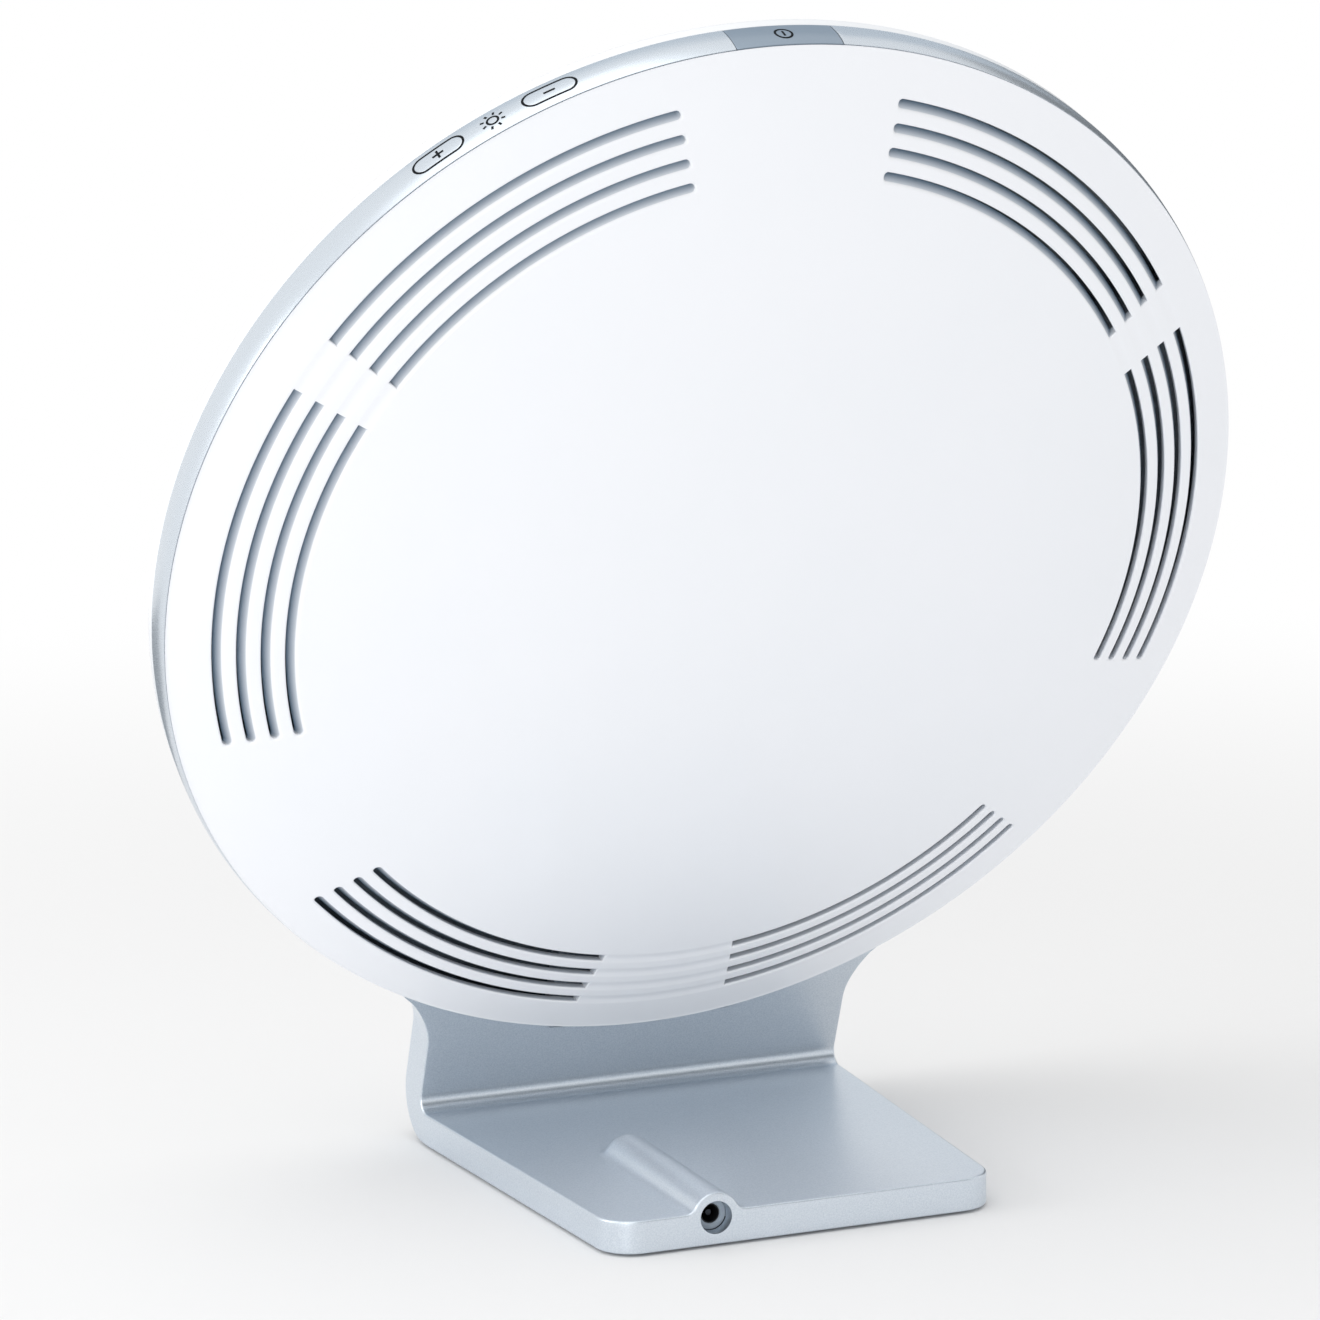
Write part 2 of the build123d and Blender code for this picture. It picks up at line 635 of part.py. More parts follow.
def make_stand():
    """Cast plate bent from base to neck, flared to the rim, with the jack boss and a tongue."""
    start = bend_start()
    overlap = 1.0
    neck_top = -150.0
    top_front = disc_point(0, neck_top, NECK_FRONT)
    top_rear = disc_point(0, neck_top, NECK_REAR)
    with BuildPart() as stand:
        # bend and neck from the side profile
        with BuildSketch(Plane.YZ) as side:
            Polygon(
                (start + overlap, PAD_THICKNESS),
                (neck_corner(NECK_FRONT, PAD_THICKNESS), PAD_THICKNESS),
                (top_front.Y, top_front.Z),
                (top_rear.Y, top_rear.Z),
                (neck_corner(NECK_REAR, PLATE_TOP), PLATE_TOP),
                (start + overlap, PLATE_TOP),
                align=None,
            )
            low = side.vertices().sort_by(Axis.X)
            fillet(low[0], BEND_OUTER_RADIUS)
            inner = side.vertices().sort_by_distance((neck_corner(NECK_REAR, PLATE_TOP), PLATE_TOP))[0]
            fillet(inner, BEND_INNER_RADIUS)
        extrude(amount=NECK_HALF_WIDTH, both=True)
        # flare from the neck to the rim
        centre_x = NECK_HALF_WIDTH + FLARE_RADIUS
        centre_up = -sqrt((RIM_RADIUS + FLARE_RADIUS) ** 2 - centre_x**2)
        with BuildSketch(face_plane(NECK_REAR)):
            reach = centre_x * RIM_RADIUS / (RIM_RADIUS + FLARE_RADIUS)
            reach_up = centre_up * RIM_RADIUS / (RIM_RADIUS + FLARE_RADIUS)
            with BuildLine():
                Line((-NECK_HALF_WIDTH, centre_up - 2), (NECK_HALF_WIDTH, centre_up - 2))
                Line((NECK_HALF_WIDTH, centre_up - 2), (NECK_HALF_WIDTH, centre_up))
                RadiusArc((NECK_HALF_WIDTH, centre_up), (reach, reach_up), FLARE_RADIUS)
                Line((reach, reach_up), (-reach, reach_up))
                RadiusArc((-reach, reach_up), (-NECK_HALF_WIDTH, centre_up), FLARE_RADIUS)
                Line((-NECK_HALF_WIDTH, centre_up), (-NECK_HALF_WIDTH, centre_up - 2))
            make_face()
        extrude(amount=NECK_PLATE)
        # flat base
        with BuildSketch(Plane.XY.offset(PAD_THICKNESS)):
            add(base_outline(0, start))
        extrude(amount=PLATE)
        # half-round boss over the jack, with a ball end
        with BuildSketch(Plane((JACK_X, REAR_EDGE, JACK_Z), x_dir=(1, 0, 0), z_dir=(0, -1, 0))):
            Circle(BOSS_ROUND)
        extrude(amount=BOSS_LENGTH)
        with Locations((JACK_X, REAR_EDGE - BOSS_LENGTH, JACK_Z)):
            Sphere(BOSS_ROUND)
        # saddle under the rim, a hair larger than the band
        add(barrel(0, SEAM_GAP - RIM_DEPTH, -SEAM_GAP, grow=SADDLE_GAP), mode=Mode.SUBTRACT)
        with BuildSketch(face_plane(SEAM_GAP - RIM_DEPTH)):
            Circle(RIM_FRONT_RADIUS + SADDLE_GAP)
        extrude(amount=NECK_PLATE, mode=Mode.SUBTRACT)
        # pocket below, closed by the base cover
        with BuildSketch(Plane.XY.offset(PAD_THICKNESS)):
            add(base_outline(POCKET_WALL, start + 1))
        extrude(amount=POCKET_TOP - PAD_THICKNESS, mode=Mode.SUBTRACT)
        with BuildSketch(Plane.XY.offset(PLATE_INSIDE)):
            with Locations(*pillar_points()):
                Circle(4)
        extrude(amount=POCKET_TOP - PLATE_INSIDE + 0.5)
        with BuildSketch(Plane.XY.offset(PLATE_INSIDE)):
            with Locations(*pillar_points()):
                Circle(1.6)
        extrude(amount=4.5, mode=Mode.SUBTRACT)
        # jack bore and recess
        with BuildSketch(Plane((JACK_X, REAR_EDGE, JACK_Z), x_dir=(1, 0, 0), z_dir=(0, -1, 0))):
            Circle(JACK_RADIUS + 0.05)
        extrude(amount=JACK_RECESS + JACK_LENGTH + 6, mode=Mode.SUBTRACT)
        # tongue into the disc
        tongue = TONGUE_TOP + RIM_RADIUS + 3
        with BuildSketch(face_plane(NECK_REAR)):
            with Locations((0, TONGUE_TOP - tongue / 2)):
                Rectangle(2 * TONGUE_HALF_WIDTH, tongue)
        extrude(amount=NECK_REAR - CHASSIS_REAR)
        with BuildSketch(face_plane(NECK_REAR)):
            with Locations(*neck_screw_points()):
                Circle(2.1)
        extrude(amount=NECK_REAR - CHASSIS_REAR, mode=Mode.SUBTRACT)
        # channel for the lead from the pocket through the bend and up the tongue
        add(lead_tube(LEAD_RADIUS + 0.5), mode=Mode.SUBTRACT)
    return stand


def make_base_cover():
    """Flat cover that closes the pocket in the base."""
    with BuildPart() as base_cover:
        with BuildSketch(Plane.XY.offset(PAD_THICKNESS)):
            add(base_outline(POCKET_WALL + 0.2, bend_start() + 1.2))
        extrude(amount=COVER_PLATE)
        with Locations(Plane.XY.offset(PAD_THICKNESS)):
            for x, y in pillar_points():
                with Locations((x, y)):
                    Cylinder(1.7, 3 * COVER_PLATE, mode=Mode.SUBTRACT)
                    Cone(3.1, 1.7, 1.6, align=(Align.CENTER, Align.CENTER, Align.MIN), mode=Mode.SUBTRACT)
    return base_cover


def make_base_screws():
    """Countersunk screws through the base cover into the pillars of the stand."""
    with BuildPart() as base_screws:
        with Locations(Plane.XY.offset(PAD_THICKNESS)):
            for x, y in pillar_points():
                with Locations((x, y)):
                    Cone(3.0, 1.5, 1.5, align=(Align.CENTER, Align.CENTER, Align.MIN))
                    Cylinder(1.5, 6, align=(Align.CENTER, Align.CENTER, Align.MIN))
    return base_screws


def make_ballast_plates():
    """Two steel weights inside the base, clear of the jack and its lead."""
    with BuildPart() as ballast_plates:
        with BuildSketch(Plane.XY.offset(PLATE_INSIDE)):
            add(base_outline(POCKET_WALL + 1, bend_start() + 2))
            with Locations(*pillar_points()):
                Circle(4.5, mode=Mode.SUBTRACT)
            with Locations((JACK_X, REAR_EDGE - 27)):
                Rectangle(22, 56, mode=Mode.SUBTRACT)
            with Locations((JACK_X / 2 - 1, -22)):
                Rectangle(38, 90, mode=Mode.SUBTRACT)
        extrude(amount=BALLAST)
    return ballast_plates


def make_foot_pad():
    """Thin non-slip pad that the lamp stands on."""
    with BuildPart() as foot_pad:
        with BuildSketch():
            add(base_outline(3.0, bend_start() + 2))
        extrude(amount=PAD_THICKNESS)
    return foot_pad


# ---------------------------------------------------------------- jack and lead
def make_dc_jack():
    """Barrel jack housing in the boss, its bore open to the rear."""
    face = REAR_EDGE - JACK_RECESS
    with BuildPart() as dc_jack:
        with BuildSketch(Plane((JACK_X, face, JACK_Z), x_dir=(1, 0, 0), z_dir=(0, -1, 0))):
            Circle(JACK_RADIUS - 0.05)
        extrude(amount=JACK_LENGTH)
        with BuildSketch(Plane((JACK_X, face, JACK_Z), x_dir=(1, 0, 0), z_dir=(0, -1, 0))):
            Circle(JACK_BORE)
        extrude(amount=JACK_BORE_DEPTH, mode=Mode.SUBTRACT)
        fillet(dc_jack.edges().filter_by(GeomType.CIRCLE).group_by(Axis.Y)[-1].sort_by(SortBy.RADIUS)[0], 0.4)
    return dc_jack


def make_jack_pin():
    """Centre contact of the jack."""
    floor = REAR_EDGE - JACK_RECESS - JACK_BORE_DEPTH
    with BuildPart() as jack_pin:
        with BuildSketch(Plane((JACK_X, floor, JACK_Z), x_dir=(1, 0, 0), z_dir=(0, 1, 0))):
            Circle(JACK_PIN_RADIUS)
        extrude(amount=JACK_PIN_LENGTH)
        fillet(jack_pin.edges().group_by(Axis.Y)[-1], 0.4)
    return jack_pin


def make_jack_clamp():
    """Plastic saddle that holds the jack up into its bore."""
    middle = REAR_EDGE - JACK_RECESS - JACK_LENGTH / 2
    with BuildPart() as jack_clamp:
        with Locations((JACK_X, middle, PLATE_INSIDE)):
            Box(18, 8, 4.4, align=(Align.CENTER, Align.CENTER, Align.MIN))
        with BuildSketch(Plane((JACK_X, middle + 5, JACK_Z), x_dir=(1, 0, 0), z_dir=(0, -1, 0))):
            Circle(JACK_RADIUS)
        extrude(amount=10, mode=Mode.SUBTRACT)
    return jack_clamp


def lead_route():
    """Corner points of the inner lead, from the jack through base and neck to the driver board."""
    jack_rear = REAR_EDGE - JACK_RECESS - JACK_LENGTH
    height = (PLATE_INSIDE + POCKET_TOP) / 2
    connector_depth = BOARD_REAR + 3.5
    board_edge = BOARD_CENTRE - BOARD_HEIGHT / 2
    return [
        Vector(JACK_X, jack_rear, height),
        Vector(JACK_X, jack_rear - 22, height),
        Vector(0, -25, height),
        Vector(0, neck_corner(LEAD_DEPTH, height), height),
        disc_point(0, board_edge - 24, LEAD_DEPTH),
        disc_point(0, board_edge - 10, connector_depth),
        disc_point(0, board_edge, connector_depth),
    ]


def lead_tube(radius):
    """Round tube along the lead's route."""
    route = lead_route()
    with BuildPart() as tube:
        with BuildLine() as path:
            FilletPolyline(*route, radius=[12, 12, 4, 8, 5])
        with BuildSketch(Plane(origin=route[0], z_dir=route[1] - route[0])):
            Circle(radius)
        sweep(path=path.line)
    return tube.part


def make_dc_lead():
    """Inner lead from the jack through the base and the neck to the driver board."""
    with BuildPart() as dc_lead:
        add(lead_tube(LEAD_RADIUS))
    return dc_lead


# ---------------------------------------------------------------- build and write every piece
def main():
    """Make each piece and write it under its own name."""
    os.makedirs("parts", exist_ok=True)
    lip_rear = FRAME_FRONT + FRAME_LIP
    save(make_front_frame(), "front_frame")
    save(make_disc(DIFFUSER_RADIUS, lip_rear, DIFFUSER_REAR), "diffuser")
    save(make_disc(GUIDE_RADIUS, DIFFUSER_REAR, GUIDE_REAR), "light_guide")
    save(make_disc(GUIDE_RADIUS + 0.5, GUIDE_REAR, CHASSIS_FRONT), "reflector_sheet")
    save(make_led_strip(), "led_strip")
    save(make_led_packages(), "led_packages")
    save(make_led_chassis(), "led_chassis")
    save(make_screws(boss_points(), 3.0, 1.5, 1.5, 6.0), "cover_screws")
    save(make_screws(neck_screw_points(), 3.8, 2.0, 1.8, -2.0), "neck_screws")
    save(make_rim_band(), "rim_band")
    save(make_rear_cover(), "rear_cover")
    save(make_power_button(), "power_button")
    save(make_rim_key(PLUS_ANGLE), "plus_button")
    save(make_rim_key(MINUS_ANGLE), "minus_button")
    for name, angle in (("power", 0), ("plus", PLUS_ANGLE), ("minus", MINUS_ANGLE)):
        save(make_switch(angle), f"{name}_switch")
        save(make_plunger(angle), f"{name}_plunger")
    save(make_key_board(), "key_board")
    save(make_driver_board(), "driver_board")
    save(make_board_standoffs(), "board_standoffs")
    save(make_board_screws(), "board_screws")
    save(make_capacitors(), "capacitors")
    save(make_inductor(), "inductor")
    save(make_heat_sink(), "heat_sink")
    save(make_controller(), "controller_chip")
    save(make_lead_connector(), "lead_connector")
    save(make_stand(), "stand")
    save(make_base_cover(), "base_cover")
    save(make_base_screws(), "base_screws")
    save(make_ballast_plates(), "ballast_plates")
    save(make_foot_pad(), "foot_pad")
    save(make_dc_jack(), "dc_jack")
    save(make_jack_pin(), "jack_pin")
    save(make_jack_clamp(), "jack_clamp")
    save(make_dc_lead(), "dc_lead")


main()
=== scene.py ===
"""Round light therapy lamp: skins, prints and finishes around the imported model.

Lengths inside the classes are millimetres. Pieces of the disc are modelled in the disc's own
frame, x across, y up the disc, z along its axis to the rear with 0 at the seam between band and
cover, and are then laid into the lamp's frame. Angles count from the top towards the jack's side.
"""

from __future__ import annotations

import json
import logging
import math
from dataclasses import dataclass
from enum import Enum
from typing import Callable, Iterable, Sequence

import bmesh
import bpy
from mathutils import Matrix, Vector

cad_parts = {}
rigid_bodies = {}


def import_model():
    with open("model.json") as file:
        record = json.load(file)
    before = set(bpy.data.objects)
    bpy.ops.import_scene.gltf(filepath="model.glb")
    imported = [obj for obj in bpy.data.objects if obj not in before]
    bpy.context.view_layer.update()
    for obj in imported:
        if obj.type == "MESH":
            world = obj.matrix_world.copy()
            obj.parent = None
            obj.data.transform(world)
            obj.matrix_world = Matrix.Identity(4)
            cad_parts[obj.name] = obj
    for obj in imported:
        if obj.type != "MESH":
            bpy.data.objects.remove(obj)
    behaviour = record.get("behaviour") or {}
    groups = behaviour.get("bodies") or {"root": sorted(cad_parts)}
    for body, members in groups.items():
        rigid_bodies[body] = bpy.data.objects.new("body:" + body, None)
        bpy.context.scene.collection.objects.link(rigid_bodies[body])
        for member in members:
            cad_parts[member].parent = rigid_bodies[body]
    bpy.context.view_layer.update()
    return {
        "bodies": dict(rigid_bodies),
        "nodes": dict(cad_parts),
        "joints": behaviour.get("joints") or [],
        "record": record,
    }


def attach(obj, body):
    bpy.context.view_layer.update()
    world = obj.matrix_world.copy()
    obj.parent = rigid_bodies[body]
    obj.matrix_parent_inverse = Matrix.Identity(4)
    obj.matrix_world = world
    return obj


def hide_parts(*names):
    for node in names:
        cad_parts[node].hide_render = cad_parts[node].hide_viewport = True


LOG = logging.getLogger("lamp")

Point = tuple[float, float]
Point3 = tuple[float, float, float]
Colour = tuple[float, float, float, float]
MM = 0.001
WHITE: Colour = (1.0, 1.0, 1.0, 1.0)


# ------------------------------------------------------------------ shared measures
@dataclass(frozen=True)
class LampFrame:
    """Where the leaning disc sits over the base."""

    lean: float = math.radians(21.8)
    shift: float = 7.25
    height: float = 185.9

    def disc_matrix(self) -> Matrix:
        """Matrix from the disc's frame in millimetres to the lamp's frame in metres.

        Returns:
            A rotation and translation with the millimetre scale in it.
        """
        s, c = math.sin(self.lean), math.cos(self.lean)
        turn = Matrix(((-1, 0, 0, 0), (0, s, c, self.shift), (0, c, -s, self.height), (0, 0, 0, 1)))
        return Matrix.Scale(MM, 4) @ turn

    def point(self, across: float, up: float, depth: float) -> Vector:
        """A point of the lamp in millimetres from its place on the disc.

        Args:
            across: Towards +X.
            up: Up the disc from its centre.
            depth: Along the axis to the rear.

        Returns:
            The point in the lamp's frame, in millimetres.
        """
        s, c = math.sin(self.lean), math.cos(self.lean)
        return Vector((across, self.shift + up * s + depth * c, self.height + up * c - depth * s))


LAMP = LampFrame()

# The barrelled band's radii and edges, and where the keys sit on it
RIM_CROWN = 165.9
RIM_REAR = 165.15
RIM_FRONT = 165.5
BAND_REAR = -0.25
BAND_FRONT = -11.35
PLUS_ANGLE = 36.2
MINUS_ANGLE = 24.1
KEY_DEPTH = -6.2
# Spacing in degrees of the columns round a key, finer than its outline's facets can show
COLUMN_STEP = 0.105
# Spacing in millimetres of the rows that cross a key
ROW_STEP = 0.3
# Steps in a full turn of a small round thing
ROUND_STEPS = 48


def rim_radius(depth: float) -> float:
    """Radius of the barrelled band at a depth.

    Args:
        depth: Place along the disc's axis.

    Returns:
        The outer radius there.
    """
    middle = (BAND_REAR + BAND_FRONT) / 2
    half = (BAND_REAR - BAND_FRONT) / 2
    t = max(-1.0, min(1.0, (depth - middle) / half))
    edge = RIM_REAR if t > 0 else RIM_FRONT
    return RIM_CROWN - (RIM_CROWN - edge) * t * t


def disc_point(turn: float, radius: float, depth: float) -> Vector:
    """A point in the disc's frame from its angle in radians, its radius and its depth."""
    return Vector((-radius * math.sin(turn), radius * math.cos(turn), depth))


def disc_angle(point: Vector) -> float:
    """Angle of a point in the disc's frame, in degrees from -180 to 180."""
    return math.degrees(math.atan2(-point.x, point.y))


# ------------------------------------------------------------------ colours and nodes
def srgb(code: str) -> Colour:
    """Turns an sRGB hex value into a linear colour.

    Args:
        code: Six hex digits.

    Returns:
        Linear red, green, blue and an alpha of 1.
    """
    parts = [int(code[i : i + 2], 16) / 255 for i in (0, 2, 4)]
    linear = [p / 12.92 if p <= 0.04045 else ((p + 0.055) / 1.055) ** 2.4 for p in parts]
    return (linear[0], linear[1], linear[2], 1.0)


def per_mm(size: float) -> float:
    """Scale of a pattern on object coordinates whose feature has a size in millimetres."""
    return 1.0 / (size * MM)


def add_node(
    tree: bpy.types.NodeTree, kind: str, settings: dict | None = None, **inputs: object
) -> bpy.types.Node:
    """Adds one node, sets it and links what feeds it.

    Args:
        tree: The node tree.
        kind: Blender's name of the node type.
        settings: Attributes of the node itself.
        **inputs: Input names with spaces written as underscores, or i0, i1 for a place in the
            list. A value is either a number or colour, or an output socket to link from.

    Returns:
        The new node.
    """
    node = tree.nodes.new(kind)
    for name, value in (settings or {}).items():
        setattr(node, name, value)
    for name, value in inputs.items():
        if name[0] == "i" and name[1:].isdigit():
            socket = node.inputs[int(name[1:])]
        else:
            socket = node.inputs[name.replace("_", " ")]
        if isinstance(value, bpy.types.NodeSocket):
            tree.links.new(value, socket)
        else:
            socket.default_value = value
    return node


def new_material(name: str) -> tuple[bpy.types.Material, bpy.types.NodeTree]:
    """Makes an empty node material.

    Args:
        name: The real material's name.

    Returns:
        The material and its cleared node tree.
    """
    material = bpy.data.materials.new(name)
    material.use_nodes = True
    tree = material.node_tree
    tree.nodes.clear()
    return material, tree


# ------------------------------------------------------------------ finishes
@dataclass(frozen=True)
class MouldedPlastic:
    """Injection-moulded plastic: even colour, faint flow marks and a fine skin.

    The flow marks give a slow change of gloss over centimetres, the skin a tiny unevenness. Where a
    mesh has the slot shade attribute, the colour turns to the cut colour: painted shade on slot walls.
    """

    name: str
    colour: str
    marks: str
    roughness: float
    skin_mm: float = 0.6
    skin_depth: float = 0.004
    flow_mm: float = 45.0
    flow_change: float = 0.15
    # Colour of the painted shade on slot walls; empty for none
    cut: str = ""

    def build(self) -> bpy.types.Material:
        """Builds the material.

        Returns:
            The finished material.
        """
        material, tree = new_material(self.name)
        place = add_node(tree, "ShaderNodeTexCoord").outputs["Object"]
        flow = add_node(tree, "ShaderNodeTexNoise", Vector=place, Scale=per_mm(self.flow_mm), Detail=2.0)
        skin = add_node(tree, "ShaderNodeTexNoise", Vector=place, Scale=per_mm(self.skin_mm), Detail=3.0)
        colour = add_node(
            tree, "ShaderNodeMix", {"data_type": "RGBA"},
            i0=flow.outputs["Fac"], i6=srgb(self.colour), i7=srgb(self.marks),
        )
        # Painted shade: the cut colour is mixed in where the mesh's slot shade attribute says so
        if self.cut:
            wall = add_node(tree, "ShaderNodeAttribute", {"attribute_name": "painted_slot_shade"})
            colour = add_node(
                tree, "ShaderNodeMix", {"data_type": "RGBA"},
                i0=wall.outputs["Fac"], i6=colour.outputs[2], i7=srgb(self.cut),
            )
        rough = add_node(
            tree, "ShaderNodeMapRange",
            Value=flow.outputs["Fac"],
            To_Min=self.roughness * (1 - self.flow_change), To_Max=self.roughness * (1 + self.flow_change),
        )
        bump = add_node(
            tree, "ShaderNodeBump", Strength=0.35, Distance=self.skin_depth * MM, Height=skin.outputs["Fac"]
        )
        shader = add_node(
            tree, "ShaderNodeBsdfPrincipled",
            Base_Color=colour.outputs[2], Roughness=rough.outputs["Result"], IOR=1.5,
            Normal=bump.outputs["Normal"],
        )
        add_node(tree, "ShaderNodeOutputMaterial", Surface=shader.outputs["BSDF"])
        return material


@dataclass(frozen=True)
class SilverPaint:
    """Silver paint or bead-blasted metal: grainy, half metallic, broad soft reflections.

    The grain is drawn a little coarser than the real flake or bead so that it still shows.
    """

    name: str
    colour: str
    shade: str
    roughness: float
    metallic: float
    grain_mm: float = 0.45
    contrast: float = 0.5
    relief_mm: float = 0.02
    cloud_mm: float = 60.0
    cloud_share: float = 0.2
    gloss_change: float = 0.06

    def build(self) -> bpy.types.Material:
        """Builds the material.

        Returns:
            The finished material.
        """
        material, tree = new_material(self.name)
        place = add_node(tree, "ShaderNodeTexCoord").outputs["Object"]
        grain = add_node(
            tree, "ShaderNodeTexNoise", Vector=place, Scale=per_mm(self.grain_mm), Detail=2.0, Roughness=0.6
        )
        cloud = add_node(tree, "ShaderNodeTexNoise", Vector=place, Scale=per_mm(self.cloud_mm), Detail=2.0)
        spread = add_node(
            tree, "ShaderNodeMapRange",
            Value=grain.outputs["Fac"], From_Min=0.3, From_Max=0.7,
            To_Min=0.5 - self.contrast / 2, To_Max=0.5 + self.contrast / 2,
        )
        blend = add_node(
            tree, "ShaderNodeMath", {"operation": "MULTIPLY_ADD"},
            i0=cloud.outputs["Fac"], i1=self.cloud_share, i2=spread.outputs["Result"],
        )
        colour = add_node(
            tree, "ShaderNodeMix", {"data_type": "RGBA"},
            i0=blend.outputs[0], i6=srgb(self.shade), i7=srgb(self.colour),
        )
        rough = add_node(
            tree, "ShaderNodeMapRange",
            Value=grain.outputs["Fac"],
            To_Min=self.roughness - self.gloss_change, To_Max=self.roughness + self.gloss_change,
        )
        bump = add_node(
            tree, "ShaderNodeBump", Strength=0.5, Distance=self.relief_mm * MM, Height=grain.outputs["Fac"]
        )
        shader = add_node(
            tree, "ShaderNodeBsdfPrincipled",
            Base_Color=colour.outputs[2], Metallic=self.metallic, Roughness=rough.outputs["Result"],
            Normal=bump.outputs["Normal"],
        )
        add_node(tree, "ShaderNodeOutputMaterial", Surface=shader.outputs["BSDF"])
        return material


@dataclass(frozen=True)
class OpalSheet:
    """Opal acrylic: milky, light passes just under its surface, satin front."""

    name: str = "opal acrylic sheet"
    colour: str = "F4F5F6"
    shade: str = "EEF0F2"
    roughness: float = 0.32
    cloud_mm: float = 70.0
    satin_mm: float = 0.5
    satin_depth: float = 0.004
    depth_mm: float = 2.0

    def build(self) -> bpy.types.Material:
        """Builds the material.

        Returns:
            The finished material.
        """
        material, tree = new_material(self.name)
        place = add_node(tree, "ShaderNodeTexCoord").outputs["Object"]
        cloud = add_node(tree, "ShaderNodeTexNoise", Vector=place, Scale=per_mm(self.cloud_mm), Detail=1.0)
        satin = add_node(tree, "ShaderNodeTexNoise", Vector=place, Scale=per_mm(self.satin_mm), Detail=2.0)
        colour = add_node(
            tree, "ShaderNodeMix", {"data_type": "RGBA"},
            i0=cloud.outputs["Fac"], i6=srgb(self.shade), i7=srgb(self.colour),
        )
        bump = add_node(
            tree, "ShaderNodeBump", Strength=0.3, Distance=self.satin_depth * MM, Height=satin.outputs["Fac"]
        )
        shader = add_node(
            tree, "ShaderNodeBsdfPrincipled",
            Base_Color=colour.outputs[2], Roughness=self.roughness, IOR=1.49,
            Subsurface_Weight=0.25, Subsurface_Scale=self.depth_mm * MM, Normal=bump.outputs["Normal"],
        )
        shader.inputs["Subsurface Radius"].default_value = (1.0, 0.95, 0.9)
        add_node(tree, "ShaderNodeOutputMaterial", Surface=shader.outputs["BSDF"])
        return material


@dataclass(frozen=True)
class PrintInk:
    """Pad-printed ink: matt, nearly black, a little uneven where it wet the surface."""

    name: str = "pad printing ink"
    colour: str = "10161C"
    shade: str = "06090C"
    speck_mm: float = 0.3

    def build(self) -> bpy.types.Material:
        """Builds the material.

        Returns:
            The finished material.
        """
        material, tree = new_material(self.name)
        place = add_node(tree, "ShaderNodeTexCoord").outputs["Object"]
        speck = add_node(tree, "ShaderNodeTexNoise", Vector=place, Scale=per_mm(self.speck_mm), Detail=2.0)
        colour = add_node(
            tree, "ShaderNodeMix", {"data_type": "RGBA"},
            i0=speck.outputs["Fac"], i6=srgb(self.shade), i7=srgb(self.colour),
        )
        shader = add_node(
            tree, "ShaderNodeBsdfPrincipled",
            Base_Color=colour.outputs[2], Roughness=0.7, IOR=1.5, Specular_IOR_Level=0.15,
        )
        add_node(tree, "ShaderNodeOutputMaterial", Surface=shader.outputs["BSDF"])
        return material


@dataclass(frozen=True)
class BareMetal:
    """Plain or plated metal with a drawn or rolled grain along one direction."""

    name: str
    colour: str
    shade: str
    roughness: float
    grain_mm: float = 0.4
    stretch: float = 12.0
    relief_mm: float = 0.01
    gloss_change: float = 0.08

    def build(self) -> bpy.types.Material:
        """Builds the material.

        Returns:
            The finished material.
        """
        material, tree = new_material(self.name)
        place = add_node(tree, "ShaderNodeTexCoord").outputs["Object"]
        drawn = add_node(tree, "ShaderNodeMapping", Vector=place)
        drawn.inputs["Scale"].default_value = (1.0 / self.stretch, 1.0, 1.0)
        grain = add_node(
            tree, "ShaderNodeTexNoise",
            Vector=drawn.outputs["Vector"], Scale=per_mm(self.grain_mm), Detail=3.0,
        )
        colour = add_node(
            tree, "ShaderNodeMix", {"data_type": "RGBA"},
            i0=grain.outputs["Fac"], i6=srgb(self.shade), i7=srgb(self.colour),
        )
        rough = add_node(
            tree, "ShaderNodeMapRange",
            Value=grain.outputs["Fac"],
            To_Min=self.roughness - self.gloss_change, To_Max=self.roughness + self.gloss_change,
        )
        bump = add_node(
            tree, "ShaderNodeBump", Strength=0.3, Distance=self.relief_mm * MM, Height=grain.outputs["Fac"]
        )
        shader = add_node(
            tree, "ShaderNodeBsdfPrincipled",
            Base_Color=colour.outputs[2], Metallic=1.0, Roughness=rough.outputs["Result"],
            Normal=bump.outputs["Normal"],
        )
        add_node(tree, "ShaderNodeOutputMaterial", Surface=shader.outputs["BSDF"])
        return material


@dataclass(frozen=True)
class ClearAcrylic:
    """Cast acrylic: clear and polished, with matt etched dots that let the light out."""

    name: str = "cast acrylic"
    colour: str = "F2F7F7"
    dots_mm: float = 2.5

    def build(self) -> bpy.types.Material:
        """Builds the material.

        Returns:
            The finished material.
        """
        material, tree = new_material(self.name)
        place = add_node(tree, "ShaderNodeTexCoord").outputs["Object"]
        dots = add_node(tree, "ShaderNodeTexVoronoi", Vector=place, Scale=per_mm(self.dots_mm))
        rough = add_node(
            tree, "ShaderNodeMapRange",
            Value=dots.outputs["Distance"], From_Min=0.2, From_Max=0.35, To_Min=0.4, To_Max=0.06,
        )
        shader = add_node(
            tree, "ShaderNodeBsdfPrincipled",
            Base_Color=srgb(self.colour), Roughness=rough.outputs["Result"], IOR=1.49,
            Transmission_Weight=0.9,
        )
        add_node(tree, "ShaderNodeOutputMaterial", Surface=shader.outputs["BSDF"])
        return material


